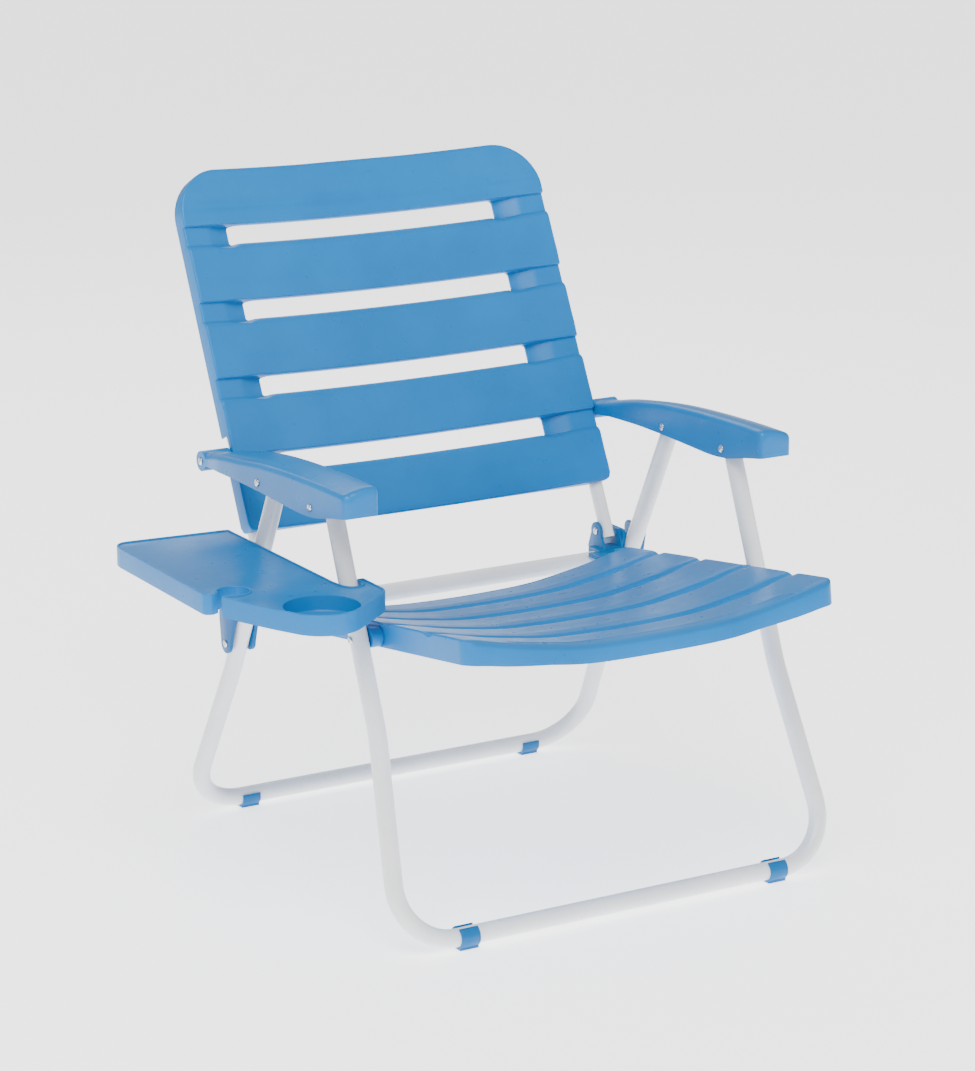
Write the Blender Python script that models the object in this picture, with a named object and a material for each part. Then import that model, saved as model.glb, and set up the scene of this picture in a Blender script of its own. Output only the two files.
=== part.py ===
"""Folding beach chair with a slatted back, slatted seat, two armrests, two U leg frames and a side tray.

Metres, +Z up. The chair faces -Y. +X is the sitter's left, and the tray is on the -X side.
Side-view points are (y, z) pairs, measured from the floor under the middle of the leg frames.
The finished part is moved so that the origin is the bottom centre of its bounding box.
"""

import math

import bmesh
import bpy
from mathutils import Vector

# ---------------------------------------------------------------- driving dimensions
TUBE_R = 0.0100            # leg tube radius
TUBE_WALL = 0.0012         # leg tube wall
BACK_R = 0.0080            # backrest tube radius
LEG_X = 0.2505             # plane of each leg at the armrest, from the centre
FLOOR_GAP = 0.0125         # height of the base bars' axis
BEND_R = 0.060             # bends between legs and base bars
TUBE_SIDES = 14            # facets round a tube
BEND_STEPS = 7             # facets along a base bend

A3 = (-0.0711, 0.4422)     # armrest pivot of the front leg
S3 = (-0.1254, 0.3103)     # seat pivot of the front leg
A1 = (0.2010, 0.4335)      # armrest pivot on the backrest
S1 = (0.1467, 0.3016)      # seat pivot of the backrest
A2 = (0.0489, 0.4429)      # armrest pivot of the rear leg
S2 = (0.1528, 0.2360)      # seat bracket pin of the rear leg
CROSS = (0.1380, 0.2700)   # axis of the tube behind the seat

FRONT_SLOPE = 0.4117       # run forward per unit of drop, front leg
REAR_SLOPE = 0.5020        # run back per unit of drop, rear leg
FRONT_KINK = 0.2160        # height where the front legs start to splay sideways
REAR_KINK = 0.1980
FRONT_SPLAY = 0.1050       # sideways run per unit of drop, front leg
REAR_SPLAY = 0.0620
LEG_TOP = 0.0120           # length of leg above its armrest pivot
FRONT_CLIP_X, REAR_CLIP_X = 0.1940, 0.1885

BACK_TILT = math.radians(25.86)
BACK_BASE = (0.2040, 0.4200)     # a point of the back's slot plane
BACK_LOW, BACK_HIGH = -0.0765, 0.3412
BACK_W, BACK_W_TOP = 0.2360, 0.2338
BACK_CORNER = 0.057
BACK_TUBE_H = 0.0042       # backrest tube axis, in front of the slot plane
BACK_TUBE_X = 0.2225
SLAT_PITCH, SLOT_H = 0.0881, 0.0212
BACK_SLOT_TOP = 0.2736
BACK_SLOT_X = 0.1738
SKIN = 0.0025              # moulded wall thickness
WALL = 0.0022              # skirt wall thickness

SEAT_TILT = math.atan(0.1466)
SEAT_REAR = (0.1040, 0.2914)     # rear end of the seat's side edge line
SEAT_LEN = 0.4131
SEAT_W = 0.2265
SEAT_SLOT_X = 0.1700
SEAT_CORNER = 0.016
SEAT_SLOTS = (0.0701, 0.1551, 0.2451, 0.3341)
SEAT_SLOT_H = 0.0085

ARM_IN, ARM_OUT = 0.2365, 0.2775
ARM_TIP_OUT = 0.2700
ARM_WALL = 0.0022
HUB_R = 0.0112

TRAY_TOP, TRAY_LOW = 0.3670, 0.3450
TRAY_IN = 0.2632
TRAY_RIM = 0.0019          # height of the rim above the plate
COVE_R = 0.0114            # half width of the hook's notch for the front leg
CUP_AT, CUP_R = (-0.3131, -0.1640), 0.0395
KEY_AT, KEY_R = (-0.3685, -0.0735), 0.0168

EAR_IN = (0.2110, 0.2142)
EAR_MID = (0.2333, 0.2397)
EAR_OUT = (0.2640, 0.2678)  # far enough out for the splayed leg to slide through when folding
SCREW_R, SCREW_H, SHANK_R = 0.0043, 0.0018, 0.0022

PLASTIC = ("sky_blue_plastic", (0.010, 0.335, 0.790), 0.32, 0.0)
BRACKET = ("deep_blue_plastic", (0.008, 0.220, 0.560), 0.38, 0.0)
PAINT = ("white_powder_coat", (0.880, 0.890, 0.900), 0.35, 0.0)
STEEL = ("bright_zinc_steel", (0.720, 0.730, 0.750), 0.28, 1.0)


# ---------------------------------------------------------------- small helpers
def clear_scene():
    for obj in list(bpy.data.objects):
        bpy.data.objects.remove(obj, do_unlink=True)


def material(spec):
    name, colour, rough, metal = spec
    found = bpy.data.materials.get(name)
    if found:
        return found
    mat = bpy.data.materials.new(name)
    mat.use_nodes = True
    shader = mat.node_tree.nodes["Principled BSDF"]
    shader.inputs["Base Color"].default_value = (*colour, 1.0)
    shader.inputs["Roughness"].default_value = rough
    shader.inputs["Metallic"].default_value = metal
    return mat


def new_object(name, verts, faces, spec, pivot=(0.0, 0.0, 0.0)):
    """One mesh object whose origin is at pivot, facing out."""
    mesh = bpy.data.meshes.new(name)
    mesh.from_pydata([tuple(Vector(v) - Vector(pivot)) for v in verts], [], faces)
    mesh.materials.append(material(spec))
    obj = bpy.data.objects.new(name, mesh)
    obj.location = pivot
    bpy.context.scene.collection.objects.link(obj)
    tidy_mesh(mesh)
    return obj


def tidy_mesh(mesh):
    work = bmesh.new()
    work.from_mesh(mesh)
    bmesh.ops.remove_doubles(work, verts=work.verts, dist=1e-6)
    bmesh.ops.dissolve_degenerate(work, edges=work.edges, dist=1e-6)
    bmesh.ops.recalc_face_normals(work, faces=work.faces)
    work.to_mesh(mesh)
    work.free()
    mesh.update()


def boolean(target, other, operation):
    """Apply one exact Boolean, then drop the tool object."""
    mod = target.modifiers.new("cut", "BOOLEAN")
    mod.solver = "EXACT"
    mod.operation = operation
    mod.object = other
    graph = bpy.context.evaluated_depsgraph_get()
    result = bpy.data.meshes.new_from_object(target.evaluated_get(graph))
    target.modifiers.clear()
    old = target.data
    target.data = result
    bpy.data.meshes.remove(old)
    bpy.data.objects.remove(other, do_unlink=True)
    tidy_mesh(result)


def add(target, other):
    boolean(target, other, "UNION")


def cut(target, other):
    boolean(target, other, "DIFFERENCE")


def prism(name, outline, low, high, axis, spec, pivot=(0.0, 0.0, 0.0)):
    """Extrude a closed outline. axis X takes (y, z) points, axis Z takes (x, y) points."""
    count = len(outline)
    if axis == "X":
        ends = [[(x, a, b) for a, b in outline] for x in (low, high)]
    else:
        ends = [[(a, b, z) for a, b in outline] for z in (low, high)]
    faces = [tuple(range(count)), tuple(range(2 * count - 1, count - 1, -1))]
    for i in range(count):
        j = (i + 1) % count
        faces.append((i, j, j + count, i + count))
    return new_object(name, ends[0] + ends[1], faces, spec, pivot)


def circle(centre, radius, count, start=0.0, sweep=2 * math.pi):
    full = abs(sweep - 2 * math.pi) < 1e-9
    steps = count if full else count - 1
    out = []
    for i in range(count):
        a = start + sweep * i / steps
        out.append((centre[0] + radius * math.cos(a), centre[1] + radius * math.sin(a)))
    return out


def loft(name, rings, spec, pivot=(0.0, 0.0, 0.0)):
    """Skin equal rings of points and close both ends."""
    n = len(rings[0])
    verts = [p for ring in rings for p in ring]
    faces = [tuple(range(n)), tuple(range(len(verts) - 1, len(verts) - n - 1, -1))]
    for r in range(len(rings) - 1):
        for i in range(n):
            j = (i + 1) % n
            faces.append((r * n + i, r * n + j, (r + 1) * n + j, (r + 1) * n + i))
    return new_object(name, verts, faces, spec, pivot)


def lerp(table, at):
    """Piecewise-linear value from (position, value) pairs in rising order."""
    if at <= table[0][0]:
        return table[0][1]
    for (a, va), (b, vb) in zip(table, table[1:]):
        if at <= b:
            return va + (vb - va) * (at - a) / (b - a)
    return table[-1][1]


def smooth(t):
    t = min(1.0, max(0.0, t))
    return t * t * (3.0 - 2.0 * t)


def inset(outline, amount):
    """Move each point of an anticlockwise outline inwards along its corner's bisector."""
    out = []
    n = len(outline)
    for i in range(n):
        ax, ay = outline[i - 1]
        bx, by = outline[i]
        cx, cy = outline[(i + 1) % n]
        d1 = Vector((bx - ax, by - ay)).normalized()
        d2 = Vector((cx - bx, cy - by)).normalized()
        n1 = Vector((-d1.y, d1.x))
        n2 = Vector((-d2.y, d2.x))
        mid = (n1 + n2).normalized()
        grow = amount / max(0.45, mid.dot(n1))
        out.append((bx + mid.x * grow, by + mid.y * grow))
    return out


# ---------------------------------------------------------------- tubes
def tube_mesh(name, path, radius, wall, spec, pivot):
    """Hollow tube with open ends along a path, its section kept square to the path."""
    count = TUBE_SIDES
    outer, inner = [], []
    side = Vector((0.0, 0.0, 1.0))
    for i, point in enumerate(path):
        here = Vector(point)
        back = here - Vector(path[i - 1]) if i else Vector(path[1]) - here
        fore = Vector(path[i + 1]) - here if i < len(path) - 1 else here - Vector(path[i - 1])
        along = (back.normalized() + fore.normalized()).normalized()
        if i == 0:
            side = along.orthogonal().normalized()
        side = (side - along * side.dot(along)).normalized()
        other = along.cross(side)
        for k in range(count):
            a = 2 * math.pi * k / count
            arm = side * math.cos(a) + other * math.sin(a)
            outer.append(tuple(here + arm * radius))
            inner.append(tuple(here + arm * (radius - wall)))
    rows = len(path)
    faces = []
    base = rows * count
    for r in range(rows - 1):
        for k in range(count):
            j = (k + 1) % count
            a, b = r * count + k, r * count + j
            c, d = (r + 1) * count + j, (r + 1) * count + k
            faces.append((a, b, c, d))
            faces.append((base + a, base + d, base + c, base + b))
    for k in range(count):
        j = (k + 1) % count
        last = (rows - 1) * count
        faces.append((k, base + k, base + j, j))
        faces.append((last + k, last + j, base + last + j, base + last + k))
    return new_object(name, outer + inner, faces, spec, pivot)


def bend(before, corner, after, radius, steps):
    """Points of an arc that rounds one corner."""
    corner = Vector(corner)
    a = (Vector(before) - corner).normalized()
    b = (Vector(after) - corner).normalized()
    half = a.angle(b) / 2
    reach = radius / math.tan(half)
    centre = corner + (a + b).normalized() * (radius / math.sin(half))
    start = corner + a * reach - centre
    end = corner + b * reach - centre
    whole = start.angle(end)
    out = []
    for i in range(steps + 1):
        t = i / steps
        p = start * math.sin((1 - t) * whole) + end * math.sin(t * whole)
        out.append(tuple(centre + p / math.sin(whole)))
    return out


def leg_point(pivot, slope, z, kink, splay):
    """Centre of a leg on the +X side at height z."""
    x = LEG_X + max(0.0, kink - z) * splay
    return (x, pivot[0] + slope * (pivot[1] - z), z)


def leg_frame(name, pivot, slope, kink, splay, joint):
    """U frame: two legs that splay below the seat, joined by a base bar on the floor."""
    top_z = pivot[1] + LEG_TOP / math.hypot(1.0, slope)
    top = leg_point(pivot, slope, top_z, kink, splay)
    turn = leg_point(pivot, slope, kink, kink, splay)
    foot = leg_point(pivot, slope, FLOOR_GAP, kink, splay)
    middle = (0.0, foot[1], foot[2])
    arc = bend(turn, foot, middle, BEND_R, BEND_STEPS)
    upper = leg_point(pivot, slope, kink + 0.012, kink, splay)
    lower = leg_point(pivot, slope, kink - 0.012, kink, splay)
    soft = [upper, (turn[0] + 0.0003, turn[1], turn[2]), lower]
    right = [top] + soft + arc
    left = [(-x, y, z) for x, y, z in reversed(right)]
    return tube_mesh(name, right + left, TUBE_R, TUBE_WALL, PAINT, joint)


def front_leg_frame():
    return leg_frame("front_leg_frame", A3, -FRONT_SLOPE, FRONT_KINK, FRONT_SPLAY, (0.0, *S3))


def rear_leg_frame():
    return leg_frame("rear_leg_frame", A2, REAR_SLOPE, REAR_KINK, REAR_SPLAY, (0.0, *A2))


def back_local(x, s, h):
    """A point of the back from its width, its height up the slope and its offset forwards."""
    sin, cos = math.sin(BACK_TILT), math.cos(BACK_TILT)
    return (x, BACK_BASE[0] + s * sin - h * cos, BACK_BASE[1] + s * cos + h * sin)


def backrest_tube():
    """Inverted U inside the back panel, its ends reaching down to the seat brackets."""
    low = s1_height() - 0.0105
    high = BACK_HIGH - 0.030
    x = BACK_TUBE_X
    foot = back_local(x, low, BACK_TUBE_H)
    mid = back_local(x, BACK_LOW, BACK_TUBE_H)
    corner = back_local(x - 0.004, high, -0.0085)
    centre = back_local(0.0, high, -0.0115)
    high_mid = back_local(x, 0.200, BACK_TUBE_H)
    arc = bend(high_mid, corner, centre, 0.050, 6)
    right = [foot, mid, high_mid] + arc
    left = [(-a, b, c) for a, b, c in reversed(right)]
    return tube_mesh("backrest_tube", right + [centre] + left, BACK_R, TUBE_WALL, PAINT, (0.0, *S1))


def s1_height():
    """Distance of the back's lower pivot along the slope."""
    dy, dz = S1[0] - BACK_BASE[0], S1[1] - BACK_BASE[1]
    return dy * math.sin(BACK_TILT) + dz * math.cos(BACK_TILT)


def seat_cross_tube():
    path = [(x, *CROSS) for x in (-0.2325, 0.0, 0.2325)]
    return tube_mesh("seat_cross_tube", path, TUBE_R, TUBE_WALL, PAINT, (0.0, *CROSS))


# ---------------------------------------------------------------- slatted panels
def slat_rows(low, high):
    """(position, rise, slot side) rows across one slat, from its lower to its upper edge."""
    width = high - low
    return [
        (low, 0.0, "edge"),
        (low + 0.0030, 0.80, ""),
        (low + 0.28 * width, 1.0, ""),
        (low + 0.72 * width, 0.97, ""),
        (high - 0.0040, 0.70, ""),
        (high, 0.0, "edge"),
    ]


def panel_mesh(name, rows, columns, place, height, half_width, slot_x, skirt, spec, pivot):
    """Thin moulded shell over a grid, open at the slots, with a skirt round its rim."""
    nr, nc = len(rows), len(columns)
    flat = [[(u * half_width(s), s) for u in columns] for s, _, _ in rows]
    top = [[height(x, s, rise) for x, s in flat[r]] for r, (s, rise, _) in enumerate(rows)]
    rim = [(0, c) for c in range(nc)] + [(r, nc - 1) for r in range(1, nr)]
    rim += [(nr - 1, c) for c in range(nc - 2, -1, -1)] + [(r, 0) for r in range(nr - 2, 0, -1)]
    outline = [flat[r][c] for r, c in rim]
    inner = dict(zip(rim, inset(outline, WALL)))
    verts, faces = [], []

    def put(x, s, h):
        verts.append(place(x, s, h))
        return len(verts) - 1

    front = [[put(*flat[r][c], top[r][c]) for c in range(nc)] for r in range(nr)]
    back = []
    for r in range(nr):
        line = []
        for c in range(nc):
            x, s = inner.get((r, c), flat[r][c])
            line.append(put(x, s, top[r][c] - SKIN))
        back.append(line)
    open_cells = set()
    for r in range(nr - 1):
        if rows[r][2] != "edge" or rows[r + 1][2] != "edge":
            continue
        for c in range(nc - 1):
            if max(abs(flat[r][c][0]), abs(flat[r][c + 1][0])) <= slot_x + 1e-4:
                open_cells.add((r, c))
    for r in range(nr - 1):
        for c in range(nc - 1):
            if (r, c) in open_cells:
                continue
            faces.append((front[r][c], front[r][c + 1], front[r + 1][c + 1], front[r + 1][c]))
            faces.append((back[r][c], back[r + 1][c], back[r + 1][c + 1], back[r][c + 1]))
    for r, c in open_cells:
        for (r1, c1), (r2, c2), near in (
            ((r, c), (r, c + 1), (r - 1, c)), ((r + 1, c + 1), (r + 1, c), (r + 1, c)),
            ((r, c + 1), (r + 1, c + 1), (r, c + 1)), ((r + 1, c), (r, c), (r, c - 1)),
        ):
            if near not in open_cells:
                faces.append((front[r1][c1], front[r2][c2], back[r2][c2], back[r1][c1]))
    low_out = [put(*flat[r][c], skirt(*flat[r][c])) for r, c in rim]
    low_in = [put(*inner[(r, c)], skirt(*flat[r][c])) for r, c in rim]
    for i in range(len(rim)):
        j = (i + 1) % len(rim)
        (r1, c1), (r2, c2) = rim[i], rim[j]
        faces.append((front[r1][c1], low_out[i], low_out[j], front[r2][c2]))
        faces.append((low_out[i], low_in[i], low_in[j], low_out[j]))
        faces.append((low_in[i], back[r1][c1], back[r2][c2], low_in[j]))
    return new_object(name, verts, faces, spec, pivot)


def back_width(s):
    """Half width of the back, rounded at its top corners."""
    w = lerp([(BACK_LOW, BACK_W), (BACK_HIGH, BACK_W_TOP)], s)
    for end, radius, sign in ((BACK_HIGH, BACK_CORNER, 1), (BACK_LOW, 0.008, -1)):
        into = radius - (end - s) * sign
        if into > 0:
            w -= radius - math.sqrt(max(0.0, radius ** 2 - into ** 2))
    return w


def back_slat_height(x):
    return 0.0015 + 0.0210 * (abs(x) / BACK_W) ** 2


def back_strip_height(x):
    table = [(0.0, 0.0), (0.1738, 0.0), (0.190, 0.0050), (0.205, 0.0105), (0.2165, 0.0140)]
    return lerp(table + [(0.2235, 0.0156), (BACK_W, 0.0180)], abs(x))


def back_height(x, s, rise):
    """Offset of the back's front face at one grid point."""
    face = back_slat_height(x)
    low = back_strip_height(x)
    if abs(x) < BACK_SLOT_X - 0.006:
        low = face - 0.0048
    value = low + (face - low) * rise
    rim = min(BACK_HIGH - s, s - BACK_LOW)
    return value - 0.0035 * (1 - smooth(rim / 0.006)) - edge_round(x, back_width(s))


def edge_round(x, width):
    return 0.0016 * (1 - smooth((width - abs(x)) / 0.004))


def panel_columns(width, slot_x, extra):
    fractions = [slot_x / width, (slot_x - 0.013) / width, 0.34, 1.0] + extra
    positive = sorted(fractions)
    return [-f for f in reversed(positive)] + [0.0] + positive


def back_rows():
    rows = []
    high = BACK_HIGH
    tops = [BACK_SLOT_TOP - i * SLAT_PITCH for i in range(4)]
    for top in tops:
        rows = slat_rows(top, high) + rows
        high = top - SLOT_H
    rows = slat_rows(BACK_LOW, high) + rows
    fine = []
    for s, rise, kind in rows:
        if s == BACK_HIGH:
            for step in (0.024, 0.014, 0.0065, 0.002):
                fine.append((BACK_HIGH - step, 0.99, ""))
            fine.append((s, 0.95, ""))
        elif s == BACK_LOW:
            fine.append((s, 0.9, ""))
            fine.append((s + 0.0025, 0.95, ""))
        elif BACK_HIGH - s > 0.026 or s < 0.27:
            fine.append((s, rise, kind))
    return sorted(set(fine))


def back_panel():
    columns = panel_columns(BACK_W, BACK_SLOT_X, [0.87, 0.965])
    panel = panel_mesh(
        "back_panel", back_rows(), columns, back_local, back_height, back_width, BACK_SLOT_X,
        lambda x, s: 0.0005 + 0.35 * back_slat_height(0.0) * (abs(x) < 0.2),
        PLASTIC, (0.0, *S1),
    )
    for side in (-1, 1):
        cut(panel, skirt_notch(side))
        cut(panel, tube_slot(side))
    return panel


def skirt_notch(side):
    """Tool for the rounded notch that clears the armrest's hub."""
    corners = ((0.002, -0.006), (0.034, -0.006), (0.034, 0.0105), (0.0295, 0.0150),
               (0.006, 0.0150), (0.002, 0.0115))
    outline = [back_local(0.0, s, h)[1:] for s, h in corners]
    lo, hi = sorted((side * 0.2305, side * 0.2450))
    return prism("notch_tool", outline, lo, hi, "X", PLASTIC)


def tube_slot(side):
    """Tool for the U-shaped slot that lets the backrest tube out through the bottom skirt."""
    r = BACK_R + 0.0007
    ring = [(r, -0.012)] + circle((0.0, BACK_TUBE_H), r, 8, 0.0, math.pi) + [(-r, -0.012)]
    rings = [[back_local(side * BACK_TUBE_X + x, s, h) for x, h in ring] for s in (-0.085, -0.058)]
    return loft("slot_tool", rings, PLASTIC)


def seat_local(x, s, h):
    """A point of the seat from its width, its distance forwards and its offset upwards."""
    sin, cos = math.sin(SEAT_TILT), math.cos(SEAT_TILT)
    return (x, SEAT_REAR[0] - s * cos + h * sin, SEAT_REAR[1] + s * sin + h * cos)


def seat_width(s):
    """Half width of the seat, rounded at its corners."""
    w = SEAT_W
    for end, radius, sign in ((SEAT_LEN, SEAT_CORNER, 1), (0.0, 0.012, -1)):
        into = radius - (end - s) * sign
        if into > 0:
            w -= radius - math.sqrt(max(0.0, radius ** 2 - into ** 2))
    return w


def seat_dish(x):
    """Drop of the slats' top face from the level of the side edges."""
    table = [(0.0, 0.0264), (0.03, 0.0261), (0.06, 0.0254), (0.09, 0.0237), (0.13, 0.0184)]
    return lerp(table + [(0.18, 0.0097), (0.205, 0.0040), (SEAT_W, 0.0)], abs(x))


def seat_height(x, s, rise):
    """Offset of the seat's top face at one grid point."""
    face = -seat_dish(x)
    lip = [(0.0, 0.0042), (SEAT_SLOT_X - 0.006, 0.0042), (SEAT_SLOT_X, 0.0070), (SEAT_W, 0.0030)]
    value = face - lerp(lip, abs(x)) * (1 - rise)
    value -= 0.0075 * (1 - smooth((SEAT_LEN - s) / 0.016))
    value -= 0.0030 * (1 - smooth(s / 0.006))
    return value - edge_round(x, seat_width(s))


def seat_rows():
    """Rows of grid points from the rear edge to the front edge."""
    rows = []
    low = 0.0
    for at in SEAT_SLOTS:
        rows += slat_rows(low, at - SEAT_SLOT_H / 2)
        low = at + SEAT_SLOT_H / 2
    rows += slat_rows(low, SEAT_LEN)
    fine = [(0.0, 0.9, ""), (0.0025, 0.95, ""), (0.0070, 1.0, "")]
    fine += [row for row in rows if 0.008 < row[0] < SEAT_LEN - 0.020]
    fine += [(SEAT_LEN - step, 1.0, "") for step in (0.0165, 0.0105, 0.0050, 0.0015, 0.0)]
    return sorted(set(fine))


def seat_skirt(x, s):
    """Offset of the skirt's lower edge."""
    side = lerp([(0.0, 0.0), (0.13, 0.15), (SEAT_W, 1.0)], abs(x))
    return -seat_dish(x) - 0.0200 - 0.0065 * side


def seat_panel():
    columns = panel_columns(SEAT_W, SEAT_SLOT_X, [0.89, 0.965])
    return panel_mesh(
        "seat_panel", seat_rows(), columns, seat_local, seat_height, seat_width, SEAT_SLOT_X,
        seat_skirt, PLASTIC, (0.0, *S3),
    )


# ---------------------------------------------------------------- seat brackets and lugs
def ear_outline(centre, radius, base_z, front, rear):
    arc = circle(centre, radius, 9, -0.25, math.pi + 0.5)
    return [(rear, base_z)] + arc + [(front, base_z)]


def leg_ear_outline():
    low = circle(S2, 0.0110, 8, math.pi, math.pi)
    return low + [(0.1672, 0.262), (0.1680, 0.296), (0.1630, 0.304), (0.1320, 0.304),
                  (0.1265, 0.298), (0.1340, 0.262)]


def saddle_outline():
    """Body that wraps the upper part of the seat's cross tube."""
    y, z = CROSS
    r = TUBE_R + 0.0003
    inner = circle(CROSS, r, 9, math.pi, -math.pi)
    return [(y - 0.0135, z - 0.006), (y - 0.0135, z + 0.0132), (y + 0.0135, z + 0.0132),
            (y + 0.0135, z - 0.006), (y + r, z - 0.006)] + list(reversed(inner)) + [(y - r, z - 0.006)]


def rear_bracket(side):
    name = "rear_bracket_left" if side > 0 else "rear_bracket_right"
    pivot = (side * LEG_X, *S2)

    def block(outline, low, high):
        lo, hi = sorted((side * low, side * high))
        return prism("tool", outline, lo, hi, "X", BRACKET, pivot)

    lo, hi = sorted((side * 0.2040, side * 0.2390))
    body = prism(name, saddle_outline(), lo, hi, "X", BRACKET, pivot)
    top = CROSS[1] + 0.0100
    add(body, block(ear_outline(S1, 0.0105, top, 0.1270, 0.1640), *EAR_IN))
    add(body, block([(0.1250, top), (0.1330, 0.304), (0.1600, 0.304), (0.1630, top)], EAR_MID[0], 0.2360))
    add(body, block(leg_ear_outline(), 0.2358, EAR_MID[1]))
    add(body, block(leg_ear_outline(), *EAR_OUT))
    web = [(0.1560, 0.2640), (0.1620, 0.2640), (0.1620, 0.2900), (0.1560, 0.2900)]
    add(body, block(web, 0.2380, 0.2660))
    flange = [(0.1040, 0.2775), (0.1290, 0.2775), (0.1290, 0.2825), (0.1040, 0.2815)]
    add(body, block(flange, 0.1900, 0.2220))
    return body


def seat_lug(side):
    """Block on the seat's side that the front leg turns on."""
    name = "seat_lug_left" if side > 0 else "seat_lug_right"
    arc = circle(S3, 0.0110, 9, -1.75, -math.pi)
    outline = [(-0.1000, 0.2985)] + arc + [(-0.1000, 0.3165)]
    lo, hi = sorted((side * 0.2268, side * 0.2401))
    return prism(name, outline, lo, hi, "X", PLASTIC, (side * LEG_X, *S3))


# ---------------------------------------------------------------- armrests
ARM_TOP = [(-0.1475, 0.4690), (-0.1440, 0.4728), (-0.1350, 0.4755), (-0.1080, 0.4765), (-0.0600, 0.4755),
           (-0.0100, 0.4735), (0.0410, 0.4700), (0.0930, 0.4635), (0.1350, 0.4555), (0.1780, 0.4455),
           (0.2010, 0.4420)]
ARM_LOW = [(-0.1475, 0.4462), (-0.1250, 0.4425), (-0.1000, 0.4370), (-0.0800, 0.4330), (-0.0500, 0.4310),
           (0.0000, 0.4325), (0.0500, 0.4340), (0.0930, 0.4345), (0.1350, 0.4335), (0.1780, 0.4312),
           (0.2010, 0.4265)]
ARM_SIDE = [(-0.1475, 0.2710), (-0.1445, 0.2755), (-0.1390, 0.2775), (0.0900, 0.2775), (0.1500, 0.2752),
            (0.1880, ARM_TIP_OUT), (0.2010, ARM_TIP_OUT)]
ARM_FALL = [(-0.1475, 0.0050), (0.0930, 0.0050), (0.1600, 0.0), (0.2010, 0.0)]
ARM_INNER = [(-0.1475, 0.2430), (-0.1445, 0.2388), (-0.1390, ARM_IN), (0.2010, ARM_IN)]
ARM_STATIONS = [-0.1475, -0.1440, -0.1350, -0.1080, -0.0800, -0.0500, 0.0, 0.0410, 0.0930, 0.1350,
                0.1780, 0.1880, 0.2010]


def arm_ring(side, y, shrink):
    """Cross-section of the armrest at one station: its top falls outwards, ahead of the hub."""
    top, low = lerp(ARM_TOP, y) - shrink * 1.15, lerp(ARM_LOW, y)
    inner, outer = lerp(ARM_INNER, y) + shrink, lerp(ARM_SIDE, y) - shrink
    if shrink:
        low -= 0.02
    soft = 0.0055 if not shrink else 0.0035
    fall = lerp(ARM_FALL, y)
    edge = top - fall
    points = [
        (inner, low), (inner, top - soft), (inner + 0.3 * soft, top - 0.3 * soft), (inner + soft, top),
        ((inner + outer) / 2, top + 0.0010 - 0.3 * fall), (outer - soft, edge),
        (outer - 0.3 * soft, edge - 0.3 * soft), (outer, edge - soft), (outer, low),
    ]
    return [(side * x, y, z) for x, z in points]


def armrest(side):
    name = "armrest_left" if side > 0 else "armrest_right"
    pivot = (side * LEG_X, *A1)
    body = loft(name, [arm_ring(side, y, 0.0) for y in ARM_STATIONS], PLASTIC, pivot)
    hollow = [-0.1442] + ARM_STATIONS[2:10] + [0.1620]
    cut(body, loft("tool", [arm_ring(side, y, ARM_WALL) for y in hollow], PLASTIC, pivot))
    lo, hi = sorted((side * ARM_IN, side * ARM_TIP_OUT))
    add(body, prism("tool", circle(A1, HUB_R, 18), lo, hi, "X", PLASTIC, pivot))
    lo, hi = sorted((side * 0.2312, side * 0.2385))
    add(body, prism("tool", circle(A1, 0.0045, 12), lo, hi, "X", PLASTIC, pivot))
    for y, z in (A2, A3):
        lo, hi = sorted((side * 0.2300, side * 0.2850))
        cut(body, prism("tool", circle((y, z), SHANK_R + 0.0002, 8), lo, hi, "X", PLASTIC, pivot))
    lo, hi = sorted((side * 0.2560, side * 0.2850))
    cut(body, prism("tool", circle(A1, SHANK_R + 0.0002, 8), lo, hi, "X", PLASTIC, pivot))
    return body


# ---------------------------------------------------------------- screws
def screw(name, at, face, outward, length):
    """Pan-head screw along X: head outside face, shank running back through the wall."""
    y, z = at
    gap = 0.0003
    profile = [(0.0, -length), (SHANK_R, -length), (SHANK_R, gap), (SCREW_R, gap),
               (SCREW_R, gap + 0.0006), (SCREW_R * 0.72, gap + SCREW_H * 0.9), (0.0, gap + SCREW_H)]
    sides = 10
    verts, faces = [], []
    for r, x in profile[1:-1]:
        for k in range(sides):
            a = 2 * math.pi * k / sides
            verts.append((face + outward * x, y + r * math.cos(a), z + r * math.sin(a)))
    rings = len(profile) - 2
    for i in range(rings - 1):
        for k in range(sides):
            j = (k + 1) % sides
            faces.append((i * sides + k, i * sides + j, (i + 1) * sides + j, (i + 1) * sides + k))
    faces.append(tuple(range(sides)))
    faces.append(tuple(range(rings * sides - 1, (rings - 1) * sides - 1, -1)))
    return new_object(name, verts, faces, STEEL, (face, y, z))


def arm_screws(side):
    tag = "left" if side > 0 else "right"
    for label, at in (("rear", A2), ("front", A3)):
        screw(f"arm_screw_{label}_outer_{tag}", at, side * ARM_OUT, side, 0.0045)
        screw(f"arm_screw_{label}_inner_{tag}", at, side * ARM_IN, -side, 0.0036)
    screw(f"arm_hub_screw_{tag}", A1, side * ARM_TIP_OUT, side, 0.0120)


def seat_screws(side):
    tag = "left" if side > 0 else "right"
    screw(f"back_pivot_rivet_{tag}", S1, side * EAR_IN[0], -side, 0.0)
    screw(f"rear_leg_screw_{tag}", S2, side * EAR_OUT[1], side, 0.0)
    screw(f"front_leg_screw_{tag}", S3, side * (LEG_X + TUBE_R), side, 0.0)


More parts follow.
